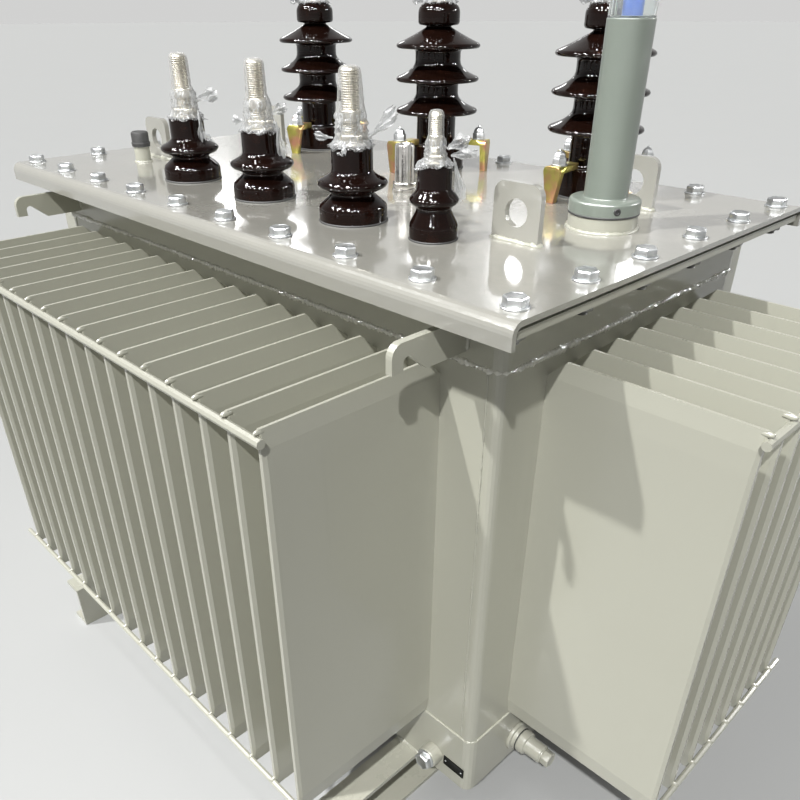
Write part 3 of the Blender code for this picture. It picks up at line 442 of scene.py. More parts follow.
@dataclass(frozen=True)
class MattRubber(Finish):
    """Matt black rubber or plastic with fine grain and grey dust."""

    bloom: Colour = (0.10, 0.10, 0.095)
    grain_scale: float = 900.0

    def dress(self, job: PaintJob) -> None:
        """Add grain and dust."""
        dust = job.effect(Effect.SETTLED_DUST, amount=0.5, scale=40.0)["Mask"]
        share = job.math("MAXIMUM", dust, job.patches(90.0, 4.0, 0.4, 0.8, 0.25))
        job.shade({"Base Color": job.mix(share, rgba(self.colour), rgba(self.bloom))})
        job.bump(job.effect(Effect.SPANGLE, scale=self.grain_scale)["Height"], 0.25, 0.0004)


@dataclass(frozen=True)
class SightGlass(Finish):
    """Clear moulded plastic of the oil gauge."""

    clearness: float = 0.92
    ior: float = 1.25

    def dress(self, job: PaintJob) -> None:
        """Let light through and add faint moulding waves."""
        smears = job.effect(Effect.HANDLING, amount=0.12, scale=30.0)["Mask"]
        job.shade({"Transmission Weight": self.clearness, "IOR": self.ior,
                   "Roughness": job.math("ADD", smears, self.roughness)})
        job.skin(0.05, 0.0006, scale=40.0, waves=1.0)


@dataclass(frozen=True)
class ClearFilm(Finish):
    """Clear plastic film: nearly see-through; its outline and creases show painted highlights.
    """

    tall: float = 0.45
    # creases and edge: how far the painted highlights whiten the crease lines and the outline.
    creases: float = 0.80
    edge: float = 0.50
    edge_highlight_blend: float = 0.40
    haze: float = 0.26
    relief: float = 0.8
    ior: float = 1.5

    def dress(self, job: PaintJob) -> None:
        """Paint highlights along the creases and the outline, and let the rest show through."""
        drawn = (1.0, 1.0, self.tall)
        bent = job.noise(job.stretched(job.where, drawn), 120.0, 2.0, 0.5)
        crease = job.math("ABSOLUTE", job.math("SUBTRACT", bent, 0.5))
        sharp = job.ramp(crease, 0.0, 0.055, 1.0, 0.0)
        # Painted highlight: the film turns whiter and less clear where it is seen edge-on.
        facing = job.node("ShaderNodeLayerWeight", {"Blend": self.edge_highlight_blend})
        body = job.math("MULTIPLY_ADD", facing.outputs["Facing"], self.edge, self.haze)
        # Painted highlight: the crease lines turn whiter and less clear as well.
        lines = job.math("MULTIPLY", sharp, self.creases)
        job.shade({"IOR": self.ior, "Alpha": job.math("MAXIMUM", body, lines)})
        folds = job.noise(job.stretched(job.where, drawn), 80.0, 2.0, 0.6)
        job.bump(job.math("ADD", folds, crease), self.relief, 0.0026)


@dataclass(frozen=True)
class PlainPaint(Finish):
    """Semi-gloss paint of the gauge and of small fittings."""

    shade: Colour = (0.2, 0.25, 0.2)
    tone: float = 0.22
    runs: float = 0.25
    coat: float = 0.25
    coat_roughness: float = 0.12
    specular: float = 0.5

    def dress(self, job: PaintJob) -> None:
        """Add slow tone, smears and the sprayed skin."""
        runs = job.effect(Effect.STREAKS, amount=self.runs)["Mask"]
        tone = job.patches(12.0, 3.0, 0.3, 0.7, self.tone)
        base = job.mix(tone, rgba(self.colour), rgba(self.shade))
        smears = job.effect(Effect.HANDLING, amount=0.12, scale=18.0)["Mask"]
        job.shade({"Specular IOR Level": self.specular, "Coat Weight": self.coat,
                   "Coat Roughness": self.coat_roughness,
                   "Base Color": job.mix(runs, base, rgba(self.shade)),
                   "Roughness": job.math("ADD", smears, self.roughness)})
        job.skin(0.10, 0.0005, scale=420.0, waves=0.3)


@dataclass(frozen=True)
class StudioFloor(Finish):
    """Plain pale floor, which hardly lights the object from below."""

    bounce: Colour = (0.07, 0.07, 0.07)
    shade: Colour = (0.41, 0.42, 0.42)
    tone: float = 0.10

    def dress(self, job: PaintJob) -> None:
        """Give the floor a faint tone, and a darker colour for stray light."""
        tone = job.patches(1.4, 4.0, 0.3, 0.7, self.tone)
        pale = job.mix(tone, rgba(self.colour), rgba(self.shade))
        job.shade({"Base Color": job.mix(job.shown_rays(), rgba(self.bounce), pale)})


class Slot(Enum):
    """The material slots of the record."""

    ENAMEL = "enamel"
    PORCELAIN = "porcelain"
    TINNED = "tinned_brass"
    GALVANISED = "galvanised"
    YELLOW_ZINC = "yellow_zinc"
    RUBBER = "black_rubber"
    GAUGE = "gauge_green"
    CLEAR = "clear_plastic"
    BLUE = "blue_plastic"
    BRIGHT = "bright_steel"


FINISHES: dict[Slot, Finish] = {
    Slot.ENAMEL: SprayedEnamel("finish_enamel", (0.470, 0.468, 0.396), 0.26, coat=0.22),
    Slot.PORCELAIN: GlazedPorcelain("finish_porcelain", (0.0085, 0.0034, 0.0024), 0.06,
                                    thin=(0.034, 0.011, 0.0065)),
    Slot.TINNED: PlatedMetal("finish_tinned", (0.57, 0.55, 0.49), 0.28, 1.0,
                             tint=(0.40, 0.375, 0.32)),
    Slot.GALVANISED: PlatedMetal("finish_galvanised", (0.52, 0.53, 0.53), 0.30, 1.0,
                                 tint=(0.28, 0.29, 0.30), flakes=300.0, relief=0.2),
    Slot.YELLOW_ZINC: PlatedMetal("finish_yellow_zinc", (0.38, 0.37, 0.085), 0.28, 1.0,
                                  tint=(0.44, 0.20, 0.145), tint_scale=30.0, tint_share=0.80),
    Slot.RUBBER: MattRubber("finish_rubber", (0.020, 0.020, 0.019), 0.65),
    Slot.GAUGE: PlainPaint("finish_gauge", (0.238, 0.272, 0.236), 0.30,
                           shade=(0.19, 0.22, 0.19)),
    Slot.CLEAR: SightGlass("finish_sight_glass", (0.93, 0.96, 0.95), 0.05),
    Slot.BLUE: PlainPaint("finish_blue", (0.045, 0.13, 0.50), 0.30, shade=(0.03, 0.09, 0.36)),
    Slot.BRIGHT: PlatedMetal("finish_bright_steel", (0.74, 0.72, 0.69), 0.13, 1.0,
                             tint=(0.60, 0.58, 0.55), flakes=700.0, relief=0.05),
}
# The films' edge and creases values set the strength of their painted highlights.
FILM = ClearFilm("finish_film", (0.62, 0.63, 0.64), 0.14)
STRETCHED_FILM = ClearFilm("finish_stretched_film", (0.62, 0.62, 0.61), 0.10, tall=0.05,
                           creases=0.36, edge=0.70, haze=0.09, relief=0.3)
BUNCHED_FILM = ClearFilm("finish_bunched_film", (0.68, 0.69, 0.70), 0.16, creases=0.95,
                         edge=0.40, haze=0.60)
# Painted shade: the tank's enamel made darker, so the strongly lit cover and the pieces on it
# don't render too bright; its clear gloss is heavier too.
COVER_ENAMEL_PAINTED_SHADE = SprayedEnamel("finish_cover_enamel_painted_shade", (0.378, 0.372, 0.336), 0.16, dust=0.20,
                             coat=1.0, coat_roughness=0.085, waves=0.25)
# Painted highlight: the enamel made much paler for the band's weld bead, standing in for the
# glints on its lumps.
WELD_ENAMEL_PAINTED_GLINT = SprayedEnamel("finish_weld_enamel_painted_glint", (0.70, 0.695, 0.62), 0.12, dust=0.05,
                            coat=1.0, peel=0.9, peel_scale=420.0)
BARE_PLATE = PlainPaint("finish_bare_plate", (0.005, 0.005, 0.004), 0.45,
                        shade=(0.010, 0.010, 0.008), coat=0.0, specular=0.12)
# Painted shade: the galvanised zinc made darker for the nuts that hang in shadow under the
# flange; it is duller too.
NUT_ZINC_PAINTED_SHADE = PlatedMetal("finish_nut_zinc_painted_shade", (0.28, 0.28, 0.27), 0.42, 1.0,
                        tint=(0.16, 0.16, 0.15), flakes=300.0, relief=0.2)
FLOOR = StudioFloor("finish_floor", (0.445, 0.450, 0.450), 0.6)


class Paintbox:
    """Keeps one material for each finish."""

    def __init__(self) -> None:
        """Build the shared effects."""
        self.effects = Effects()
        self.made: dict[str, bpy.types.Material] = {}

    def material(self, finish: Finish) -> bpy.types.Material:
        """Return a finish's material, made when first asked for."""
        if finish.name not in self.made:
            self.made[finish.name] = finish.build(self.effects)
        return self.made[finish.name]

    def of(self, slot: Slot) -> bpy.types.Material:
        """Return the material of a record's slot."""
        return self.material(FINISHES[slot])


# The workbench


def about(point: Sequence[float]) -> Matrix:
    """Return a move to a point."""
    return Matrix.Translation(Vector(point))


def turned_z(degrees: float) -> Matrix:
    """Return a turn about the upright axis."""
    return Matrix.Rotation(math.radians(degrees), 4, "Z")


def aim(direction: Sequence[float]) -> Matrix:
    """Return the turn that lays the upright axis along a direction."""
    return Vector(direction).to_track_quat("Z", "Y").to_matrix().to_4x4()


def rounded(corners: Sequence[Point], steps: int = 4) -> list[Ring]:
    """Round a profile's corners.

    Args:
        corners: each corner's radius, height and how far its rounding reaches.
        steps: how many pieces a rounding has.

    Returns:
        The rounded profile.
    """
    points: list[Ring] = [(corners[0][0], corners[0][1])]
    for before, corner, after in zip(corners, corners[1:], corners[2:]):
        here = Vector(corner[:2])
        back, ahead = Vector(before[:2]) - here, Vector(after[:2]) - here
        reach = min(corner[2], 0.48 * back.length, 0.48 * ahead.length)
        if reach < LEAST_ROUNDING:
            points.append((here.x, here.y))
            continue
        start = here + back.normalized() * reach
        end = here + ahead.normalized() * reach
        for index in range(steps + 1):
            share = index / steps
            point = start.lerp(here, share).lerp(here.lerp(end, share), share)
            points.append((point.x, point.y))
    points.append((corners[-1][0], corners[-1][1]))
    return points


def middle_of(node: str) -> Vector:
    """Return the middle of a node's box."""
    low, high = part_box(node)
    return (low + high) / 2


def foot_of(node: str) -> Vector:
    """Return the middle of a node's underside."""
    low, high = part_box(node)
    return Vector(((low.x + high.x) / 2, (low.y + high.y) / 2, low.z))


def radius_of(node: str) -> float:
    """Return half the width of a round node."""
    low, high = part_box(node)
    return (high.x - low.x) / 2


class Workpiece:
    """A mesh that starts as a primitive and is shaped in edit mode."""

    FIRST_LIFT = 0.0001

    def __init__(self, name: str) -> None:
        """Take up the object that was just added, with its place in its mesh."""
        self.object: bpy.types.Object = bpy.context.object
        self.object.name = name
        self.object.data.name = name
        bpy.ops.object.transform_apply(location=True, rotation=True, scale=True)

    @staticmethod
    def clear() -> None:
        """Leave edit mode and deselect everything."""
        if bpy.context.object and bpy.context.object.mode != "OBJECT":
            bpy.ops.object.mode_set(mode="OBJECT")
        bpy.ops.object.select_all(action="DESELECT")

    @classmethod
    def cylinder(cls, name: str, radius: float, low: float, high: float, sides: int = 32,
                 centre: Sequence[float] = (0.0, 0.0)) -> "Workpiece":
        """Start from an upright cylinder between two heights."""
        cls.clear()
        place = (centre[0], centre[1], (low + high) / 2)
        bpy.ops.mesh.primitive_cylinder_add(vertices=sides, radius=radius, depth=high - low,
                                            location=place)
        return cls(name)

    @classmethod
    def box(cls, name: str, low: Sequence[float], high: Sequence[float]) -> "Workpiece":
        """Start from a box between two corners."""
        cls.clear()
        middle = [(a + b) / 2 for a, b in zip(low, high)]
        size = [b - a for a, b in zip(low, high)]
        bpy.ops.mesh.primitive_cube_add(size=1.0, location=middle, scale=size)
        return cls(name)

    @classmethod
    def grid(cls, name: str, across: int, along: int) -> "Workpiece":
        """Start from a flat unit grid."""
        cls.clear()
        bpy.ops.mesh.primitive_grid_add(x_subdivisions=across, y_subdivisions=along, size=1.0)
        return cls(name)

    @classmethod
    def torus(cls, name: str, ring: float, thick: float, height: float,
              centre: Sequence[float], steps: int = 48, sides: int = 8) -> "Workpiece":
        """Start from a flat ring."""
        cls.clear()
        bpy.ops.mesh.primitive_torus_add(major_radius=ring, minor_radius=thick,
                                         major_segments=steps, minor_segments=sides,
                                         location=(centre[0], centre[1], height))
        return cls(name)

    @classmethod
    def ball(cls, name: str, radius: float, levels: int = 2) -> "Workpiece":
        """Start from a ball of small triangles."""
        cls.clear()
        bpy.ops.mesh.primitive_ico_sphere_add(subdivisions=levels, radius=radius)
        return cls(name)

    def _edit(self, kind: str) -> bmesh.types.BMesh:
        """Enter edit mode with nothing selected and return the mesh data."""
        bpy.context.view_layer.objects.active = self.object
        self.object.select_set(True)
        if self.object.mode != "EDIT":
            bpy.ops.object.mode_set(mode="EDIT")
        bpy.ops.mesh.select_mode(type=kind)
        bpy.ops.mesh.select_all(action="DESELECT")
        return bmesh.from_edit_mesh(self.object.data)

    def pick(self, wanted: Callable[[Vector, Vector], bool]) -> "Workpiece":
        """Select the faces whose centre and normal pass a test."""
        mesh_data = self._edit("FACE")
        for face in mesh_data.faces:
            if wanted(face.calc_center_median(), face.normal):
                face.select_set(True)
        mesh_data.select_flush_mode()
        bmesh.update_edit_mesh(self.object.data)
        return self

    def pick_edges(self, wanted: Callable[[Vector, Vector], bool]) -> "Workpiece":
        """Select the edges whose two ends pass a test."""
        mesh_data = self._edit("EDGE")
        for edge in mesh_data.edges:
            if wanted(edge.verts[0].co, edge.verts[1].co):
                edge.select_set(True)
        mesh_data.select_flush_mode()
        bmesh.update_edit_mesh(self.object.data)
        return self

    def pull(self, step: Sequence[float]) -> "Workpiece":
        """Extrude what is selected by a step."""
        bpy.ops.mesh.extrude_region_move(TRANSFORM_OT_translate={"value": tuple(step)})
        return self

    def size(self, factors: Sequence[float], centre: Sequence[float]) -> "Workpiece":
        """Resize what is selected about a point."""
        bpy.ops.transform.resize(value=tuple(factors), center_override=tuple(centre))
        return self

    def round_edges(self, offset: float, segments: int = 3) -> "Workpiece":
        """Bevel the selected edges."""
        bpy.ops.mesh.bevel(offset=offset, segments=segments, affect="EDGES", clamp_overlap=True)
        return self

    def cut(self, point: Sequence[float], normal: Sequence[float]) -> "Workpiece":
        """Cut a line of edges round the whole piece in a plane."""
        self._edit("FACE")
        bpy.ops.mesh.select_all(action="SELECT")
        bpy.ops.mesh.bisect(plane_co=tuple(point), plane_no=tuple(normal))
        return self

    def divide(self, cuts: int) -> "Workpiece":
        """Subdivide what is selected."""
        bpy.ops.mesh.subdivide(number_cuts=cuts)
        return self

    @classmethod
    def stack(cls, name: str, rings: Sequence[Ring], sides: int = 32,
              centre: Sequence[float] = (0.0, 0.0)) -> "Workpiece":
        """Pull a round piece up, or down, through a row of rings.

        Args:
            name: the piece's name.
            rings: each ring's radius and height; the first two share a radius.
            sides: how many sides the piece has.
            centre: where its axis stands.

        Returns:
            The closed piece.
        """
        (wide, start), (_, end), *steps = rings
        way = 1.0 if end > start else -1.0
        piece = cls.cylinder(name, wide, min(start, end), max(start, end), sides, centre)
        piece.pick(lambda point, normal: normal.z * way > FACING)
        height = end
        for radius, high in steps:
            piece.pull((0.0, 0.0, high - height))
            factor = radius / wide
            if abs(factor - 1.0) > SAME_SIZE:
                piece.size((factor, factor, 1.0), (centre[0], centre[1], high))
            wide, height = radius, high
        return piece.done()

    @classmethod
    def turned(cls, name: str, profile: Sequence[Ring], sides: int = 72) -> "Workpiece":
        """Turn a profile of (radius, height) rings on the upright axis, from its foot up."""
        wide, low = profile[0]
        return cls.stack(name, [(wide, low), (wide, low + cls.FIRST_LIFT), *profile[1:]], sides)

    @classmethod
    def hexagon(cls, name: str, corner: float, low: float, edge: float, high: float,
                bevel: float) -> "Workpiece":
        """Model a hexagon head, chamfered from its edge up and dished on top."""
        rings = [(corner, low), (corner, edge), (corner * 0.90, high), (corner * 0.80, high),
                 (corner * 0.76, high - 0.0005)]
        return cls.stack(name, rings, 6).soften(bevel, 2, 25.0)

    def done(self) -> "Workpiece":
        """Leave edit mode."""
        if self.object.mode != "OBJECT":
            bpy.ops.object.mode_set(mode="OBJECT")
        return self

    def soften(self, width: float, segments: int = 2, angle: float = 35.0) -> "Workpiece":
        """Round the sharp edges with a bevel that is applied."""
        self.done()
        bevel = self.object.modifiers.new("rounded", "BEVEL")
        bevel.width = width
        bevel.segments = segments
        bevel.limit_method = "ANGLE"
        bevel.angle_limit = math.radians(angle)
        return self.apply("rounded")

    def apply(self, modifier: str) -> "Workpiece":
        """Apply a modifier."""
        bpy.context.view_layer.objects.active = self.object
        bpy.ops.object.modifier_apply(modifier=modifier)
        return self

    def smooth(self, angle: float = 38.0) -> "Workpiece":
        """Shade the round faces smooth and keep the hard edges."""
        self.done()
        self.clear()
        self.object.select_set(True)
        bpy.context.view_layer.objects.active = self.object
        bpy.ops.object.shade_smooth_by_angle(angle=math.radians(angle))
        return self

    def shape(self, move: Callable[[Vector], Vector]) -> "Workpiece":
        """Move every point by a rule, as a sculpting hand would."""
        self.done()
        for vertex in self.object.data.vertices:
            vertex.co = move(vertex.co.copy())
        self.object.data.update()
        return self

    def move(self, matrix: Matrix) -> "Workpiece":
        """Move the mesh."""
        self.done()
        self.object.data.transform(matrix)
        if matrix.determinant() < 0:
            self.object.data.flip_normals()
        return self

    def twin(self, name: str, matrix: Matrix) -> "Workpiece":
        """Copy the piece with a mesh of its own and move the copy."""
        self.clear()
        made = self.object.copy()
        made.data = self.object.data.copy()
        bpy.context.scene.collection.objects.link(made)
        made.select_set(True)
        bpy.context.view_layer.objects.active = made
        return Workpiece(name).move(matrix)

    def join(self, others: Sequence["Workpiece"]) -> "Workpiece":
        """Join other pieces into this one."""
        self.clear()
        for other in others:
            other.object.select_set(True)
        self.object.select_set(True)
        bpy.context.view_layer.objects.active = self.object
        bpy.ops.object.join()
        return self

    @classmethod
    def joined(cls, name: str, parts: Sequence["Workpiece"]) -> "Workpiece":
        """Join pieces into one and name it."""
        whole = parts[0].join(parts[1:])
        whole.object.name = name
        return whole

    def drop(self) -> None:
        """Throw a pattern piece away."""
        self.done()
        bpy.data.objects.remove(self.object, do_unlink=True)


@dataclass
class Dresser:
    """Gives pieces their material and puts them on the body."""

    paints: Paintbox
    count: int = 0

    def fit(self, piece: Workpiece, slot: Slot, finish: Finish | None = None,
            replaces: Sequence[str] = ()) -> bpy.types.Object:
        """Finish a piece.

        Args:
            piece: the piece.
            slot: the record's slot that its finish comes from.
            finish: a finish of its own, or None for the slot's.
            replaces: the nodes that it stands for.

        Returns:
            The finished object.
        """
        piece.done()
        made = piece.object
        made.data.materials.clear()
        material = self.paints.material(finish) if finish else self.paints.of(slot)
        made.data.materials.append(material)
        for polygon in made.data.polygons:
            polygon.material_index = 0
        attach(made, BODY)
        if replaces:
            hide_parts(*replaces)
        self.count += 1
        LOG.info("piece %s: %d faces", made.name, len(made.data.polygons))
        return made


# The model's nodes


@dataclass
class CarriedNodes:
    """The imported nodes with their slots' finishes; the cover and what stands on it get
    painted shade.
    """

    frame: dict
    cover_pieces: tuple[str, ...] = ("cover", "lifting_lug", "gauge_pad", "filler_stub")

    def dress(self, paints: Paintbox) -> None:
        """Give every node its material.

        Args:
            paints: where the materials come from.
        """
        slots = {part["node"]: Slot(part["material_slot"])
                 for part in self.frame["record"]["subparts"]}
        for name, node in self.frame["nodes"].items():
            finish = FINISHES[slots[name]]
            # Painted shade: the cover and the pieces on it take the darker copy of the enamel.
            if name.startswith(self.cover_pieces) and name != "cover_gasket":
                finish = COVER_ENAMEL_PAINTED_SHADE
            if not node.data.materials:
                node.data.materials.append(None)
            for place in node.material_slots:
                place.link = "DATA"
                place.material = paints.material(finish)
            LOG.info("node %s: %s", name, finish.name)


# Sub-assemblies


@dataclass
class CoverBolts:
    """The hexagon bolts round the cover's edge, with washers above and nuts below."""

    pitch: float = 0.1145
    columns: int = 10
    rows: int = 6
    row_pitch: float = 0.1119
    across_flats: float = 0.0215
    head: float = 0.0088
    head_edge: float = 0.82
    washer_radius: float = 0.0140
    washer: float = 0.0022
    washer_edge: float = 0.7
    shank_radius: float = 0.0068
    nut: float = 0.0096
    nut_chamfer: float = 0.0012
    plain_tail: float = 0.0016
    thread: float = 0.0017
    turns: int = 2
    lift: float = 0.0001
    flange: float = 0.0084

    @property
    def corner(self) -> float:
        """The radius over the corners of a head or nut."""
        return self.across_flats / math.sqrt(3.0)

    def places(self) -> list[tuple[float, float]]:
        """Return the bolts' places on the cover."""
        return [((column - (self.columns - 1) / 2) * self.pitch,
                 (row - (self.rows - 1) / 2) * self.row_pitch)
                for column in range(self.columns) for row in range(self.rows)
                if column in (0, self.columns - 1) or row in (0, self.rows - 1)]

    def _head(self, top: float) -> Workpiece:
        """Model one head on its washer."""
        base = top + self.washer
        head = Workpiece.hexagon("bolt_head", self.corner, base,
                                 base + self.head * self.head_edge, base + self.head, 0.0006)
        rim = self.washer_radius
        washer = Workpiece.stack("bolt_washer", [
            (rim, top), (rim, top + self.washer * self.washer_edge),
            (rim - 0.0007, top + self.washer)])
        return head.join([washer])

    def _nut(self, under: float) -> Workpiece:
        """Model one nut with the end of its bolt."""
        low = under - self.nut
        face, shank = low - self.nut_chamfer, self.shank_radius
        rings = [(self.corner, under), (self.corner, low), (self.corner * 0.88, face),
                 (shank, face)]
        nut = Workpiece.stack("bolt_nut", rings, 6).soften(0.0005, 2, 25.0)
        start = low - self.plain_tail
        steps: list[Ring] = [(shank, low), (shank, start)]
        for index in range(1, self.turns + 1):
            foot = start - index * self.thread
            steps += [(shank * 0.86, foot + self.thread / 2), (shank, foot)]
        steps.append((shank * 0.7, steps[-1][1] - 0.0012))
        return nut.join([Workpiece.stack("bolt_end", steps, 14)])

    def build(self, dresser: Dresser) -> None:
        """Model the bolts and copy them to their places, each turned by its own amount."""
        head = self._head(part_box("cover")[1].z + self.lift).smooth(30.0)
        nut = self._nut(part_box("cover_gasket")[0].z - self.flange).smooth(30.0)
        for index, (x, y) in enumerate(self.places(), start=1):
            place = about((x, y, 0.0))
            turn = place @ turned_z((index * 47) % 60)
            dresser.fit(head.twin(f"cover_bolt_{index:02d}", turn), Slot.GALVANISED)
            turn = place @ turned_z((index * 31 + 12) % 60)
            # The nuts take the darker zinc: painted shade.
            dresser.fit(nut.twin(f"cover_nut_{index:02d}", turn), Slot.GALVANISED, NUT_ZINC_PAINTED_SHADE)
        head.drop()
        nut.drop()


@dataclass
class WeldBeads:
    """Painted weld beads along the tank's seams and at the feet of welded pieces."""

    ripple: float = 0.0052
    sides: int = 8
    seam_x: float = 0.470
    sunk: float = 0.0012
    corner: float = 0.012
    fillet_lumps: float = 0.3

    def bead(self, name: str, start: Sequence[float], end: Sequence[float], radius: float,
             lumps: float = 0.22) -> Workpiece:
        """Model one straight bead.

        Args:
            name: the bead's name.
            start: where it starts.
            end: where it ends.
            radius: half its thickness.
            lumps: how uneven it is, as a share of the radius.

        Returns:
            The bead.
        """
        line = Vector(end) - Vector(start)
        length = line.length
        piece = Workpiece.cylinder(name, radius, 0.0, length, self.sides)
        cuts = max(2, min(26, round(math.sqrt(length / (self.ripple * 0.26)))))
        for _ in range(2):
            piece.pick_edges(lambda a, b: abs(a.z - b.z) > 0.3 * (a.xy - b.xy).length + 1e-6)
            piece.divide(cuts - 1)
        origin = Vector(start)

        def uneven(point: Vector) -> Vector:
            """Swell the bead in scallops and lumps, and round off its ends."""
            drift = 1.5 * noise.noise(origin * 3.0 + Vector((0.0, point.z * 55.0, 4.0)))
            wave = 0.5 + 0.5 * math.cos(math.tau * (point.z / self.ripple + drift))
            rough = noise.noise(origin * 7.0 + Vector((0.0, 0.0, point.z * 85.0)))
            skin = noise.noise(point * 330.0 + origin * 50.0)
            fade = min(1.0, (point.z + 0.0015) / 0.006, (length - point.z + 0.0015) / 0.006)
            scale = 1.0 + lumps * (0.5 * wave - 0.25 + 1.4 * rough + 0.9 * skin)
            return Vector((point.x * scale * fade, point.y * scale * fade, point.z))

        piece.shape(uneven)
        return piece.move(about(start) @ aim(line)).smooth(60.0)

    def fillets(self, dresser: Dresser, kind: str, place: str,
                lines: Sequence[tuple[Point, Point, float]]) -> None:
        """Lay a fillet along each line and fit them as one piece.

        Args:
            dresser: what finishes the piece.
            kind: the kind of weld, which starts the piece's name.
            place: where it is, which ends the name.
            lines: each fillet's start, end and radius.
        """
        parts = [self.bead(kind, start, end, radius, self.fillet_lumps)
                 for start, end, radius in lines]
        dresser.fit(Workpiece.joined(f"{kind}_{place}", parts), Slot.ENAMEL)

    def uprights(self, dresser: Dresser) -> None:
        """Lay the thin upright seams where the corner sheets meet the long walls."""
        low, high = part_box("corrugated_wall_front")
        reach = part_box("base_skirt")[1].y - 0.0018
        parts = [
            self.bead("upright_seam", (end * self.seam_x, side * reach, low.z + 0.003),
                      (end * self.seam_x, side * reach, high.z - 0.003), 0.0012, 0.45)
            for end in (-1.0, 1.0) for side in (-1.0, 1.0)
        ]
        dresser.fit(Workpiece.joined("upright_seam", parts), Slot.ENAMEL)

    def seam(self, dresser: Dresser, name: str, reach: tuple[float, float], height: float,
             radius: float, lumps: float = 0.22, finish: Finish | None = None) -> None:
        """Lay one bead round the tank, a side at a time, with cut corners.

        Args:
            dresser: what finishes the piece.
            name: what the beads are called.
            reach: how far out it lies along X and Y.
            height: how high it lies.
            radius: half its thickness.
            lumps: how uneven its long runs are.
            finish: a finish of its own, or None for the enamel.
        """
        x, y = reach
        near_x, near_y = x - self.corner, y - self.corner
        lean_x, lean_y = x - self.corner * 0.30, y - self.corner * 0.30
        parts = []
        for side in (-1.0, 1.0):
            parts.append(self.bead(f"{name}_long", (-near_x, side * y, height),
                                   (near_x, side * y, height), radius, lumps))
            parts.append(self.bead(f"{name}_short", (side * x, -near_y, height),
                                   (side * x, near_y, height), radius, lumps))
            for end in (-1.0, 1.0):
                bend = (end * lean_x, side * lean_y, height)
                parts.append(self.bead(f"{name}_corner", (end * near_x, side * y, height),
                                       bend, radius))
                parts.append(self.bead(f"{name}_corner", bend,
                                       (end * x, side * near_y, height), radius))
        dresser.fit(Workpiece.joined(f"{name}_long", parts), Slot.ENAMEL, finish)

    def lugs_and_hooks(self, dresser: Dresser) -> None:
        """Lay fillets round each lifting lug, and where each hook stands on the band."""
        for place in CORNERS:
            low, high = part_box(f"lifting_lug_{place}")
            faces = [((low.x - 0.001, y, low.z), (high.x + 0.001, y, low.z), 0.0034)
                     for y in (low.y, high.y)]
            ends = [((x, low.y - 0.002, low.z), (x, high.y + 0.002, low.z), 0.0040)
                    for x in (low.x, high.x)]
            self.fillets(dresser, "lug_weld", place, faces + ends)
        for place in CORNERS:
            low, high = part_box(f"hook_{place}")
            root = high.y if place.startswith("front") else low.y
            self.fillets(dresser, "hook_weld", place, [
                ((x, root, low.z + 0.001), (x, root, high.z - 0.001), 0.0030)
                for x in (low.x, high.x)])

    def ring(self, dresser: Dresser, node: str, thick: float) -> None:
        """Lay a fillet round the foot of a round node."""
        centre, radius = foot_of(node), radius_of(node)
        piece = Workpiece.torus(f"{node}_weld", radius, thick, centre.z, centre.xy, 72)

        def uneven(point: Vector) -> Vector:
            """Swell the ring in scallops."""
            angle = math.atan2(point.y - centre.y, point.x - centre.x)
            core = Vector((centre.x + radius * math.cos(angle),
                           centre.y + radius * math.sin(angle), centre.z))
            wave = 1.0 + 0.16 * math.cos(angle * radius * math.tau / self.ripple)
            wave += 0.3 * noise.noise(point * 160.0)
            return core + (point - core) * wave

        dresser.fit(piece.shape(uneven).smooth(60.0), Slot.ENAMEL)

    def build(self, dresser: Dresser) -> None:
        """Lay all the beads."""
        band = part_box("top_frame")[0].z
        skirt_low, skirt_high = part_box("base_skirt")
        reach = (skirt_high.x - self.sunk, skirt_high.y - self.sunk)
        # The band's bead takes the paler enamel: a painted highlight.
        self.seam(dresser, "band_weld", reach, band - 0.0004, 0.0036, 0.50, WELD_ENAMEL_PAINTED_GLINT)
        self.seam(dresser, "skirt_weld", reach, skirt_high.z + 0.0004, 0.0019)
        self.uprights(dresser)
        self.lugs_and_hooks(dresser)
        for side in ("right", "left"):
            low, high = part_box(f"skid_{side}")
            self.fillets(dresser, "skid_weld", side, [
                ((low.x, y, high.z), (high.x, y, high.z), 0.0032)
                for y in (skirt_low.y, skirt_high.y)])
        self.ring(dresser, "gauge_pad", 0.0030)
        self.ring(dresser, "filler_stub", 0.0022)


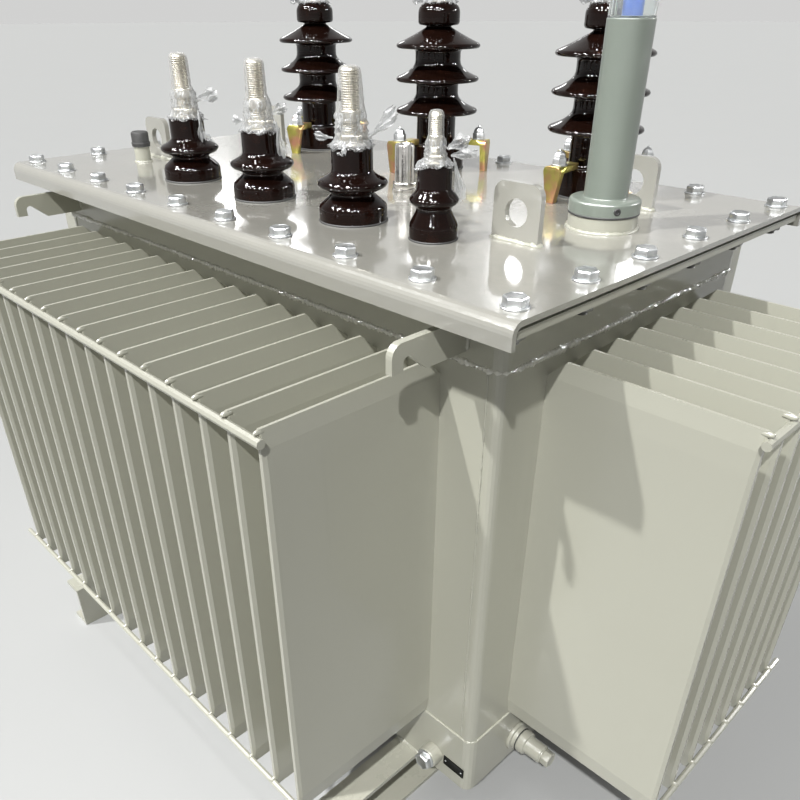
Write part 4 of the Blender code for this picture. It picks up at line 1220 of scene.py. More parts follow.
@dataclass
class FinWelds:
    """The small lumps of weld where the round bars cross the fins' edges."""

    long_pitch: float = 0.0501
    long_count: int = 17
    short_pitch: float = 0.0482
    short_count: int = 8
    foot_rise: float = 0.0190
    head_drop: float = 0.0088
    inset: float = 0.0104

    def _lump(self) -> Workpiece:
        """Model one lump: a ball drawn out up the fin into a rough wedge."""
        piece = Workpiece.ball("fin_lump", 0.0046, 2)

        def wedge(point: Vector) -> Vector:
            """Flatten the back, draw out the top and roughen the skin."""
            height = point.z * (1.5 if point.z > 0 else 0.9)
            taper = 1.0 - 0.45 * max(0.0, point.z) / 0.0046
            grain = 1.0 + 0.28 * noise.noise(point * 420.0)
            return Vector((point.x * 1.25 * taper * grain, point.y * 0.85 * grain, height))

        return piece.shape(wedge).smooth(60.0)

    def build(self, dresser: Dresser) -> None:
        """Set the lumps along the bars of all four walls."""
        pattern = self._lump()
        sides = (
            ("front", 0.0, self.long_pitch, self.long_count),
            ("back", 180.0, self.long_pitch, self.long_count),
            ("right", 90.0, self.short_pitch, self.short_count),
            ("left", -90.0, self.short_pitch, self.short_count),
        )
        for name, turn, pitch, count in sides:
            low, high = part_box(f"corrugated_wall_{name}")
            reach = max(abs(v) for v in ((low.y, high.y) if name in ("front", "back")
                                         else (low.x, high.x)))
            lumps = []
            for height in (low.z + self.foot_rise, high.z - self.head_drop):
                for index in range(count):
                    across = (index - (count - 1) / 2) * pitch
                    scale = 0.9 + 0.3 * noise.noise(Vector((index * 3.7, height * 9.0, turn)))
                    place = turned_z(turn) @ about((across, -reach + self.inset, height))
                    spread = Matrix.Diagonal((scale * 0.60, scale * 2.3, scale * 0.66, 1.0))
                    lumps.append(pattern.twin("fin_lump_copy", place @ spread))
            dresser.fit(Workpiece.joined(f"bar_welds_{name}", lumps), Slot.ENAMEL)
        pattern.drop()


@dataclass
class Stud:
    """A threaded terminal stud with a sleeve, a washer and a hexagon nut."""

    radius: float
    height: float
    across_flats: float
    nut: float
    thread: float = 0.0026
    sides: int = 22
    washer: float = 0.0022

    def _bolt(self, name: str) -> Workpiece:
        """Model the stud with its thread and chamfered end."""
        height = self.nut * 1.25
        steps: list[Ring] = [(self.radius, 0.0), (self.radius, height)]
        while height + self.thread < self.height - 0.0025:
            steps += [(self.radius * 0.885, height + self.thread * 0.45),
                      (self.radius * 0.995, height + self.thread * 0.92),
                      (self.radius, height + self.thread)]
            height += self.thread
        steps += [(self.radius * 0.9, self.height - 0.0018),
                  (self.radius * 0.74, self.height - 0.0002),
                  (self.radius * 0.70, self.height)]
        return Workpiece.stack(name, steps, self.sides)

    def model(self, name: str) -> Workpiece:
        """Model the stud standing on the origin.

        Args:
            name: the piece's name.

        Returns:
            The stud.
        """
        stud = self._bolt(name)
        corner = self.across_flats / math.sqrt(3.0)
        nut = Workpiece.stack("stud_nut", [
            (corner, self.washer), (corner, self.nut * 0.9), (corner * 0.9, self.nut),
            (corner * 0.84, self.nut)], 6).soften(0.0007, 2, 25.0)
        washer = Workpiece.stack("stud_washer", [
            (corner, 0.0001), (corner, 0.0018), (corner * 0.95, self.washer)], 28)
        wide = self.radius * 1.12
        low, high = self.nut * 1.9, self.nut * 2.9
        sleeve = Workpiece.stack("stud_sleeve", [
            (wide - 0.0005, low), (wide - 0.0005, low + 0.0005), (wide, low + 0.0010),
            (wide, high - 0.0010), (wide - 0.0006, high)])
        return stud.join([nut, washer, sleeve]).smooth(28.0)


@dataclass
class FilmWrap:
    """Clear film pulled over a stud, gathered at its nut and crumpled at its foot."""

    radius: float
    height: float
    nut_radius: float
    nut_height: float
    collar: float
    hang: float
    seed: float
    loose: float = 0.0030
    around: int = 88

    @property
    def gathered_to(self) -> float:
        """How high the crumpled part reaches."""
        return self.nut_height * 1.22

    def profile(self) -> list[Ring]:
        """Return the film's rings from its crumpled rim up over the stud's end."""
        rings: list[Ring] = [
            (self.collar + 0.0018, -self.hang), (self.collar + 0.0020, -self.hang * 0.5),
            (self.collar + 0.0014, 0.0008), (self.collar - 0.0012, 0.0030),
            (self.nut_radius + 0.0034, 0.0042), (self.nut_radius + 0.0014, 0.0062),
        ]
        steps = 10
        for index in range(steps):
            share = index / (steps - 1)
            height = 0.0080 + (self.nut_height - 0.0080) * share
            rings.append((self.nut_radius + 0.0006 - 0.0010 * share, height))
        sleeve = self.radius + self.loose
        low = self.nut_height * 1.50
        for share in (0.25, 0.50, 0.75):
            bend = share * share * (3.0 - 2.0 * share)
            rings.append((self.nut_radius + (sleeve - self.nut_radius) * bend,
                          self.nut_height + (low - self.nut_height) * share))
        steps = 12
        top = self.radius + 0.0018
        for index in range(steps):
            share = index / (steps - 1)
            height = low + (self.height - 0.004 - low) * share
            rings.append((sleeve + (top - sleeve) * share, height))
        rings += [(top * 0.93, self.height - 0.0012), (top * 0.72, self.height + 0.0010),
                  (top * 0.40, self.height + 0.0018), (top * 0.08, self.height + 0.0020)]
        return rings

    def folded(self, point: Vector) -> Vector:
        """Fold the film: long pleats above, tight creases at the nut, a ragged rim."""
        angle = math.atan2(point.y, point.x)
        high = max(0.0, min(1.0, (point.z - self.gathered_to) / (0.3 * self.height)))
        low = max(0.0, 1.0 - (point.z + self.hang) / (self.hang + 0.005))
        rim = max(0.0, 1.0 - (point.z + self.hang) / (self.hang + 0.012))
        around = Vector((math.cos(angle), math.sin(angle), 0.0)) * 1.7
        drift = around + Vector((self.seed, self.seed * 1.7, point.z * 150.0))
        pleat = math.sin(3.0 * angle + self.seed * 5.0) * 0.5
        pleat += math.sin(7.0 * angle + self.seed * 9.0 + point.z * 40.0) * 0.5
        flat = around * 0.8 + Vector((self.seed * 2.0, 0.0, point.z * 330.0))
        wrinkle = abs(noise.noise(flat)) * 2.0 - 0.5
        crease = abs(noise.noise(drift * 2.2)) * 2.0 - 0.6
        crumple = abs(noise.noise(drift * 4.6 + Vector((9.0, 0.0, 0.0)))) * 2.0 - 0.6
        tight = (1.0 - high) * (0.10 * wrinkle + 0.06 * crease + 0.04 * crumple)
        swell = 1.0 + high * 0.05 * pleat + tight + rim * 0.14 * crease
        swell += low * 0.12 * noise.noise(drift * 1.9)
        near_end = max(0.0, min(1.0, (self.height + 0.002 - point.z) / 0.012))
        swell = 1.0 + (swell - 1.0) * near_end
        ragged = low * 0.0040 * noise.noise(drift * 1.6 + Vector((0.0, 4.0, 0.0)))
        return Vector((point.x * swell, point.y * swell, point.z + ragged))

    def wrap(self, name: str) -> Workpiece:
        """Model the film round a stud that stands on the origin, open at its foot."""
        rings = self.profile()
        first, start = rings[0]
        piece = Workpiece.stack(name, [(first, start - 0.001), *rings], self.around)
        piece.pick(lambda centre, normal: centre.z < start - 0.0001)
        bpy.ops.mesh.delete(type="FACE")
        return piece.shape(self.folded).smooth(180.0)

    def tail(self, name: str, start: Sequence[float], heading: Sequence[float],
             length: float, width: float, twist: float) -> Workpiece:
        """Model a twisted end of film that flares into a crumpled fan.

        Args:
            name: the tail's name.
            start: where it leaves the wrap.
            heading: which way it points.
            length: how far it reaches.
            width: how wide its fan is.
            twist: turns along its length.

        Returns:
            The tail.
        """
        piece = Workpiece.grid(name, 26, 22)

        def flared(point: Vector) -> Vector:
            """Roll the sheet to a cord at one end and pleat it into a fan at the other."""
            along = point.y + 0.5
            across = point.x * 2.0
            wide = width * (0.34 + 0.66 * min(1.0, along * 1.25) ** 1.2)
            wide *= 1.0 - 0.35 * max(0.0, along - 0.75) / 0.25 * abs(across)
            angle = math.tau * twist * along
            pleat = math.sin(across * 8.0 + self.seed * 3.0) * 0.16 * wide
            spot = Vector((across * 2.2, along * 5.0, self.seed))
            pleat += 0.20 * wide * noise.noise(spot) + 0.12 * wide * noise.noise(spot * 2.7)
            side = across * wide / 2
            end = 1.0 + 0.22 * noise.noise(Vector((across * 3.0, self.seed, 2.0)))
            x = side * math.cos(angle) - pleat * math.sin(angle)
            y = side * math.sin(angle) + pleat * math.cos(angle)
            return Vector((x, y, along * length * end))

        piece.shape(flared)
        return piece.move(about(start) @ aim(heading)).smooth(180.0)


@dataclass
class Terminal:
    """One terminal: its side and phase, its stud, its film and the film's loose ends."""

    side: str
    phase: str
    stud: Stud
    film: FilmWrap
    tails: tuple[tuple[Point, Point, float, float, float], ...]

    def named(self, piece: str) -> str:
        """Return the name that a piece or node of this terminal has."""
        return f"{self.side}_{piece}_{self.phase}"


@dataclass
class Terminals:
    """All the terminal studs, and the film that keeps them clean."""

    nut_turn: float = 12.0
    strip_width: float = 0.12

    def low_voltage(self) -> list[Terminal]:
        """Return the four low-voltage terminals."""
        stud = Stud(0.0110, 0.0820, 0.0340, 0.0130)
        small = Stud(0.0065, 0.0520, 0.0220, 0.0100, 0.0018, 18)

        def film(seed: float, hang: float, loose: float = 0.0030) -> FilmWrap:
            """Return a phase terminal's film."""
            return FilmWrap(0.0110, 0.0820, 0.0192, 0.0285, 0.0255, hang, seed, loose)

        return [
            Terminal("lv", "a", stud, film(1.3, 0.0025), (
                ((0.0105, 0.0105, 0.0210), (0.64, 0.64, 0.30), 0.034, 0.024, 0.30),
                ((0.0262, 0.0060, 0.0100), (0.03, 0.05, -0.99), 0.042, 0.015, 0.20),
            )),
            Terminal("lv", "b", stud, film(4.1, 0.0030), (
                ((0.0125, 0.0125, 0.0180), (0.60, 0.60, 0.45), 0.022, 0.018, 0.4),
                ((0.0250, 0.0100, 0.0100), (0.06, 0.10, -0.98), 0.046, 0.014, 0.3),
                ((-0.0140, -0.0140, 0.0100), (-0.62, -0.62, 0.16), 0.015, 0.014, 0.2),
            )),
            Terminal("lv", "c", stud, film(7.7, 0.0030, 0.0052), (
                ((0.0150, 0.0140, 0.0080), (0.52, 0.54, 0.66), 0.043, 0.020, 0.25),
                ((-0.0150, -0.0160, 0.0080), (-0.70, -0.70, 0.10), 0.021, 0.012, 0.3),
                ((0.0060, -0.0180, 0.0060), (0.20, -0.45, -0.87), 0.016, 0.018, 0.1),
            )),
            Terminal("lv", "neutral", small,
                     FilmWrap(0.0065, 0.0520, 0.0118, 0.0200, 0.0195, 0.002, 2.9, 0.0022), (
                         ((0.0090, 0.0090, 0.0150), (0.60, 0.62, 0.40), 0.026, 0.020, 0.5),
                         ((0.0120, 0.0120, 0.0080), (0.70, 0.71, 0.10), 0.028, 0.016, 0.6),
                         ((0.0145, 0.0140, 0.0060), (0.16, 0.18, -0.95), 0.046, 0.013, 0.4),
                     )),
        ]

    def high_voltage(self) -> list[Terminal]:
        """Return the three high-voltage terminals."""
        stud = Stud(0.0060, 0.0420, 0.0220, 0.0090, 0.0018, 18)
        tails = (
            ((-0.0140, -0.0140, 0.0030), (-0.66, -0.66, 0.06), 0.020, 0.016, 0.3),
            ((0.0120, 0.0120, 0.0040), (0.60, 0.60, 0.40), 0.018, 0.014, 0.3),
        )
        return [
            Terminal("hv", phase, stud, FilmWrap(0.0060, 0.0405, 0.0125, 0.0130, 0.0245,
                                                 0.003, seed, 0.0024), tails)
            for phase, seed in zip(PHASES, (3.3, 5.9, 8.2))
        ]

    def dress_film(self, dresser: Dresser, terminal: Terminal, wrapped: int,
                   film: Workpiece) -> bpy.types.Object:
        """Finish a film, with its crumpled, stretched and bunched parts apart.

        Args:
            dresser: what finishes the piece.
            terminal: the film's terminal.
            wrapped: how many faces lie round the stud; the rest are loose ends.
            film: the film.

        Returns:
            The finished object.
        """
        made = dresser.fit(film, Slot.CLEAR, FILM)
        for finish in (STRETCHED_FILM, BUNCHED_FILM):
            made.data.materials.append(dresser.paints.material(finish))
        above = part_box(terminal.named("terminal"))[0].z + terminal.film.gathered_to
        for index, polygon in enumerate(made.data.polygons):
            polygon.material_index = 2 if index >= wrapped else int(polygon.center.z > above)
        return made

    def build(self, dresser: Dresser) -> None:
        """Model every stud and its film, and set them on the porcelains."""
        for terminal in [*self.low_voltage(), *self.high_voltage()]:
            node, name = terminal.named("terminal"), terminal.named("film")
            lay = about(foot_of(node))
            stud = terminal.stud.model(terminal.named("stud"))
            stud.move(lay @ turned_z(self.nut_turn))
            piece = dresser.fit(stud, Slot.TINNED, replaces=[node])
            film = terminal.film.wrap(name).move(lay)
            tails = [
                terminal.film.tail(f"{name}_tail", start, heading, *sizes).move(lay)
                for start, heading, *sizes in terminal.tails
            ]
            wrapped = len(film.object.data.polygons)
            made = self.dress_film(dresser, terminal, wrapped, film.join(tails))
            terminal.named("porcelain")


@dataclass
class Claws:
    """The plated claws that hold each high-voltage porcelain down, with dome nuts."""

    turns: tuple[float, float, float] = (-72.0, -98.0, -92.0)
    outer: float = 0.0880
    leg: float = 0.0085
    width: float = 0.0280
    toe: float = 0.0125
    height: float = 0.0460
    arm: float = 0.0078
    arm_end: float = 0.0400
    arm_tip_width: float = 0.0150
    nut_radius: float = 0.0098
    nut_inset: float = 0.0150
    ring_radius: float = 0.0404
    ring_thickness: float = 0.0034

    def _claw(self) -> Workpiece:
        """Model one claw reaching out along +X, standing on the origin's level."""
        half = self.width / 2
        inner = self.outer - self.leg
        claw = Workpiece.box("claw", (inner, -half, 0.0), (self.outer, half, self.height))
        under = self.height - self.arm
        claw.cut((0.0, 0.0, under), (0.0, 0.0, 1.0))
        claw.pick(lambda centre, normal: normal.x < -FACING and centre.z > under)
        claw.pull((self.arm_end - inner, 0.0, 0.0))
        ratio = self.arm_tip_width / self.width
        claw.size((1.0, ratio, 1.0), (self.arm_end, 0.0, self.height - self.arm / 2))
        claw.pick(lambda centre, normal: normal.z < -FACING and centre.z < 0.001)
        claw.size((1.0, self.toe / self.width, 1.0), (0.0, 0.0, 0.0))
        claw.pick_edges(lambda a, b: min(a.z, b.z) > self.height - 0.0005
                        and abs(abs(a.y) - half) < 0.0005 and abs(abs(b.y) - half) < 0.0005
                        and a.y * b.y > 0)
        claw.round_edges(0.0070, 5)
        claw.pick_edges(lambda a, b: min(a.z, b.z) > self.height - 0.0005
                        and abs(a.x - self.outer) < 0.0005 and abs(b.x - self.outer) < 0.0005)
        claw.round_edges(0.0050, 4)
        return claw.soften(0.0009, 2, 40.0)

    def _nut(self) -> Workpiece:
        """Model one dome nut on a washer above the claw."""
        top, wide = self.height, self.nut_radius
        dome, foot = wide * 0.86, top + 0.0096
        steps: list[Ring] = [(wide, top + 0.0016), (wide, top + 0.0085),
                             (wide * 0.95, top + 0.0093), (dome, foot)]
        for index in range(1, 7):
            angle = math.radians(index * 13.5)
            steps.append((dome * math.cos(angle), foot + dome * math.sin(angle)))
        steps += [(0.0020, foot + dome + 0.0006), (0.0015, foot + dome + 0.0016)]
        nut = Workpiece.stack("dome_nut", steps, 6)
        washer = Workpiece.stack("dome_nut_washer", [
            (wide * 1.12, top + 0.0001), (wide * 1.12, top + 0.0013),
            (wide * 1.06, top + 0.0016)], 26)
        return nut.join([washer]).move(about((self.outer - self.nut_inset, 0.0, 0.0)))

    def _ring(self) -> Workpiece:
        """Model the flat cushion ring between a porcelain's shoulder and its claws."""
        middle = self.height - self.arm - 0.0030 + 0.0015
        ring = Workpiece.torus("claw_ring", self.ring_radius, self.ring_thickness, middle,
                               (0.0, 0.0), 56, 10)
        return ring.shape(lambda p: Vector((p.x, p.y, middle + (p.z - middle) * 0.44)))

    def build(self, dresser: Dresser) -> None:
        """Set three claws and nuts round each high-voltage porcelain."""
        claw = self._claw().smooth(35.0)
        nut = self._nut().smooth(32.0)
        ring = self._ring().smooth(60.0)
        for phase, first in zip(PHASES, self.turns):
            foot = about(foot_of(f"hv_bushing_{phase}"))
            turns = [foot @ turned_z(first + 120.0 * index) for index in range(3)]
            for pattern, kind, slot, replaces in (
                (claw, "hv_claws", Slot.YELLOW_ZINC, [f"hv_clamp_ring_{phase}"]),
                (nut, "hv_dome_nuts", Slot.GALVANISED, []),
            ):
                name = f"{kind}_{phase}"
                copies = [pattern.twin(name, turn) for turn in turns]
                dresser.fit(Workpiece.joined(name, copies), slot, replaces=replaces)
            dresser.fit(ring.twin(f"hv_cushion_ring_{phase}", foot), Slot.RUBBER)
        for pattern in (claw, nut, ring):
            pattern.drop()


@dataclass
class Porcelains:
    """The glazed porcelains, turned smooth."""

    phase: tuple[Point, ...] = (
        (0.0410, 0.0, 0.0), (0.0425, 0.0016, 0.0010), (0.0425, 0.0186, 0.0042),
        (0.0252, 0.0328, 0.0060), (0.0412, 0.0396, 0.0030), (0.0439, 0.0440, 0.0030),
        (0.0414, 0.0478, 0.0040), (0.0305, 0.0530, 0.0080), (0.0255, 0.0570, 0.0030),
        (0.0255, 0.0838, 0.0014), (0.0238, 0.0860, 0.0010), (0.0120, 0.0860, 0.0),
    )
    neutral: tuple[Point, ...] = (
        (0.0266, 0.0, 0.0), (0.0280, 0.0014, 0.0010), (0.0280, 0.0164, 0.0030),
        (0.0188, 0.0338, 0.0050), (0.0266, 0.0394, 0.0025), (0.0284, 0.0430, 0.0025),
        (0.0266, 0.0464, 0.0030), (0.0218, 0.0515, 0.0050), (0.0195, 0.0550, 0.0025),
        (0.0195, 0.0780, 0.0012), (0.0182, 0.0800, 0.0010), (0.0080, 0.0800, 0.0),
    )
    high: tuple[Point, ...] = (
        (0.0440, 0.0, 0.0), (0.0455, 0.0016, 0.0010), (0.0455, 0.0362, 0.0018),
        (0.0440, 0.0379, 0.0010), (0.0325, 0.0382, 0.0020), (0.0310, 0.0410, 0.0020),
        (0.0310, 0.0795, 0.0050), (0.0628, 0.0812, 0.0016), (0.0650, 0.0842, 0.0024),
        (0.0630, 0.0874, 0.0024), (0.0455, 0.0940, 0.0100), (0.0330, 0.1040, 0.0070),
        (0.0330, 0.1240, 0.0050), (0.0628, 0.1257, 0.0016), (0.0650, 0.1287, 0.0024),
        (0.0630, 0.1319, 0.0024), (0.0465, 0.1385, 0.0100), (0.0350, 0.1480, 0.0070),
        (0.0350, 0.1690, 0.0050), (0.0628, 0.1707, 0.0016), (0.0650, 0.1737, 0.0024),
        (0.0630, 0.1769, 0.0024), (0.0420, 0.1860, 0.0120), (0.0200, 0.1975, 0.0030),
        (0.0186, 0.1992, 0.0010), (0.0296, 0.2010, 0.0016), (0.0315, 0.2038, 0.0024),
        (0.0315, 0.2216, 0.0080), (0.0240, 0.2300, 0.0040), (0.0080, 0.2300, 0.0),
    )

    def build(self, dresser: Dresser) -> None:
        """Turn each pattern once and set its copies on the cover."""
        for kind, corners, letters in (("lv", self.phase, ("a", "b", "c")),
                                       ("lv", self.neutral, ("neutral",)),
                                       ("hv", self.high, ("a", "b", "c"))):
            pattern = Workpiece.turned(f"{kind}_pattern", rounded(corners), 80).smooth(50.0)
            for letter in letters:
                node = f"{kind}_bushing_{letter}"
                copy = pattern.twin(f"{kind}_porcelain_{letter}", about(foot_of(node)))
                dresser.fit(copy, Slot.PORCELAIN, replaces=[node])
            pattern.drop()


@dataclass
class Gauge:
    """The oil gauge's round pieces: pad, tube, sight glass, float and cap."""

    pad: tuple[Point, ...] = (
        (0.0400, 0.0, 0.0), (0.0410, 0.0010, 0.0008), (0.0410, 0.0170, 0.0012),
        (0.0398, 0.0180, 0.0008), (0.0200, 0.0180, 0.0),
    )
    tube: tuple[Point, ...] = (
        (0.0410, 0.0, 0.0), (0.0420, 0.0010, 0.0006), (0.0420, 0.0142, 0.0026),
        (0.0392, 0.0165, 0.0020), (0.0262, 0.0170, 0.0010), (0.0257, 0.0186, 0.0012),
        (0.0257, 0.1962, 0.0006), (0.0248, 0.1970, 0.0004), (0.0100, 0.1970, 0.0),
    )
    glass: tuple[Point, ...] = (
        (0.0246, 0.0, 0.0), (0.0250, 0.0004, 0.0003), (0.0250, 0.0594, 0.0004),
        (0.0244, 0.0600, 0.0003), (0.0230, 0.0600, 0.0003), (0.0225, 0.0594, 0.0003),
        (0.0225, 0.0014, 0.0006), (0.0215, 0.0008, 0.0003), (0.0120, 0.0008, 0.0),
    )
    indicator: tuple[Point, ...] = (
        (0.0104, 0.0010, 0.0), (0.0110, 0.0016, 0.0005), (0.0110, 0.0468, 0.0014),
        (0.0096, 0.0480, 0.0006), (0.0040, 0.0480, 0.0),
    )
    cap: tuple[Point, ...] = (
        (0.0268, 0.0, 0.0), (0.0272, 0.0004, 0.0003), (0.0272, 0.0066, 0.0040),
        (0.0214, 0.0120, 0.0036), (0.0060, 0.0120, 0.0),
    )

    def build(self, dresser: Dresser) -> None:
        """Turn the pieces and stack them."""
        for name, corners, slot in (
            ("pad", self.pad, Slot.ENAMEL), ("tube", self.tube, Slot.GAUGE),
            ("glass", self.glass, Slot.CLEAR), ("indicator", self.indicator, Slot.BLUE),
            ("cap", self.cap, Slot.GAUGE),
        ):
            node = f"gauge_{name}"
            piece = Workpiece.turned(f"oil_{node}", rounded(corners, 3), 96)
            piece.move(about(foot_of(node)))
            dresser.fit(piece.smooth(40.0), slot, replaces=[node])


@dataclass
class SkirtFittings:
    """The earthing boss with its bolt, and the drain valve."""

    boss: tuple[Point, ...] = (
        (0.0163, 0.0, 0.0), (0.0165, 0.0004, 0.0002), (0.0165, 0.0166, 0.0014),
        (0.0152, 0.0180, 0.0008), (0.0080, 0.0180, 0.0),
    )
    washer: tuple[Point, ...] = (
        (0.0146, 0.0180, 0.0), (0.0150, 0.0184, 0.0003), (0.0150, 0.0204, 0.0005),
        (0.0142, 0.0210, 0.0003), (0.0070, 0.0210, 0.0),
    )
    bolt_corner: float = 0.0138
    bolt_low: float = 0.0210
    bolt_high: float = 0.0294
    valve: tuple[Point, ...] = (
        (0.0228, 0.0, 0.0), (0.0230, 0.0003, 0.0002), (0.0230, 0.0040, 0.0010),
        (0.0218, 0.0050, 0.0008), (0.0180, 0.0052, 0.0006), (0.0180, 0.0104, 0.0008),
        (0.0170, 0.0112, 0.0004), (0.0170, 0.0124, 0.0004), (0.0180, 0.0132, 0.0008),
        (0.0180, 0.0236, 0.0014), (0.0166, 0.0250, 0.0008), (0.0140, 0.0254, 0.0010),
        (0.0140, 0.0500, 0.0010), (0.0132, 0.0512, 0.0006), (0.0118, 0.0516, 0.0004),
        (0.0118, 0.0534, 0.0), (0.0060, 0.0534, 0.0),
    )
    valve_cap: float = 0.0120
    valve_cap_foot: float = 0.0534
    valve_end: float = 0.0660
    chamfer: float = 0.0014

    def _hexagon(self, name: str, corner: float, low: float, high: float) -> Workpiece:
        """Model a chamfered hexagon between two heights."""
        return Workpiece.hexagon(name, corner, low, high - self.chamfer, high, 0.0005)

    def build(self, dresser: Dresser) -> None:
        """Model both fittings and lay them against the skirt."""
        middle = middle_of("earthing_boss")
        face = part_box("earthing_boss")[1].y
        lay = about((middle.x, face, middle.z)) @ aim((0.0, -1.0, 0.0))
        boss = Workpiece.turned("earth_boss", rounded(self.boss, 3), 56).smooth(40.0)
        dresser.fit(boss.move(lay), Slot.ENAMEL, replaces=["earthing_boss"])
        head = self._hexagon("earth_bolt", self.bolt_corner, self.bolt_low, self.bolt_high)
        washer = Workpiece.turned("earth_washer", rounded(self.washer, 2), 48)
        head.join([washer]).smooth(30.0)
        dresser.fit(head.move(lay @ turned_z(17.0)), Slot.GALVANISED)
        middle = middle_of("drain_valve")
        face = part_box("drain_valve")[0].x
        lay = about((face, middle.y, middle.z)) @ aim((1.0, 0.0, 0.0))
        body = Workpiece.turned("drain_valve_body", rounded(self.valve, 3), 64)
        cap = self._hexagon("drain_cap", self.valve_cap, self.valve_cap_foot, self.valve_end)
        body.join([cap]).smooth(32.0)
        dresser.fit(body.move(lay), Slot.ENAMEL, replaces=["drain_valve"])
        joint = Workpiece.torus("drain_joint", 0.0179, 0.0009, 0.0118, (0.0, 0.0), 56, 8)
        dresser.fit(joint.smooth(60.0).move(lay), Slot.RUBBER)


@dataclass
class GaugeTrim:
    """The gauge's dark gasket, its screws and the scale strip behind the sight glass."""

    screw_radius: float = 0.0042
    screw_rise: float = 0.0078
    screws: int = 3
    first_screw: float = -38.0
    strip_low: Point = (-0.0060, 0.0168, 0.0)
    strip_high: Point = (0.0060, 0.0180, 0.054)
    strip_turn: float = 128.0

    def build(self, dresser: Dresser) -> None:
        """Fit the trim to the gauge."""
        low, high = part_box("gauge_tube")
        centre = ((low + high) / 2).xy
        radius = (high.x - low.x) / 2
        gasket = Workpiece.torus("gauge_gasket", radius - 0.0012, 0.0016, low.z, centre, 64)
        dresser.fit(gasket.smooth(60.0), Slot.RUBBER)
        wide = self.screw_radius
        screw = Workpiece.stack("gauge_screw", [
            (wide, 0.0), (wide, 0.0014), (wide * 0.86, 0.0022), (wide * 0.55, 0.0022),
            (wide * 0.50, 0.0008)], 20)
        screw.soften(0.0002, 1, 30.0).smooth(30.0)
        for index in range(self.screws):
            turn = turned_z(self.first_screw + index * 360.0 / self.screws)
            place = about((centre.x, centre.y, low.z + self.screw_rise)) @ turn
            lay = place @ about((radius - 0.0008, 0.0, 0.0)) @ aim((1.0, 0.0, 0.0))
            dresser.fit(screw.twin(f"gauge_screw_{index + 1}", lay), Slot.RUBBER)
        screw.drop()
        strip = Workpiece.box("gauge_strip", self.strip_low, self.strip_high)
        strip.pick(lambda point, normal: abs(normal.y) > FACING)
        bpy.ops.mesh.inset(thickness=0.0010, depth=-0.0002)
        strip.soften(0.0002, 1, 30.0)
        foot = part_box("gauge_glass")[0].z + 0.002
        strip.move(about((centre.x, centre.y, foot)) @ turned_z(self.strip_turn))
        dresser.fit(strip.smooth(30.0), Slot.GAUGE)


@dataclass
class SkirtPlate:
    """The small bare black plate riveted to the skirt beside the earthing boss."""

    left: float = 0.4423
    right: float = 0.4806
    low: float = 0.1152
    high: float = 0.1334
    thickness: float = 0.0012
    rivet_radius: float = 0.0016
    rivet_inset: float = 0.0042

    def build(self, dresser: Dresser) -> None:
        """Model the plate and its two rivets."""
        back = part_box("base_skirt")[0].y
        face = back - self.thickness
        plate = Workpiece.box("skirt_plate", (self.left, face, self.low),
                              (self.right, back, self.high))
        plate.pick_edges(lambda a, b: abs(a.y - b.y) > self.thickness * 0.8)
        plate.round_edges(0.0016, 3)
        plate.pick(lambda point, normal: normal.y < -FACING)
        bpy.ops.mesh.inset(thickness=0.0009, depth=0.0)
        bpy.ops.mesh.inset(thickness=0.0003, depth=-0.00025)
        plate.soften(0.00015, 1, 40.0)
        rivets = []
        for x in (self.left + self.rivet_inset, self.right - self.rivet_inset):
            rivet = Workpiece.ball("skirt_plate_rivet", self.rivet_radius, 2)
            rivet.shape(lambda point: Vector((point.x, point.y * 0.45, point.z)))
            rivet.move(about((x, face, (self.low + self.high) / 2)))
            rivets.append(rivet.smooth(60.0))
        dresser.fit(plate.smooth(40.0), Slot.RUBBER, BARE_PLATE)
        dresser.fit(Workpiece.joined("skirt_plate_rivets", rivets), Slot.GALVANISED)


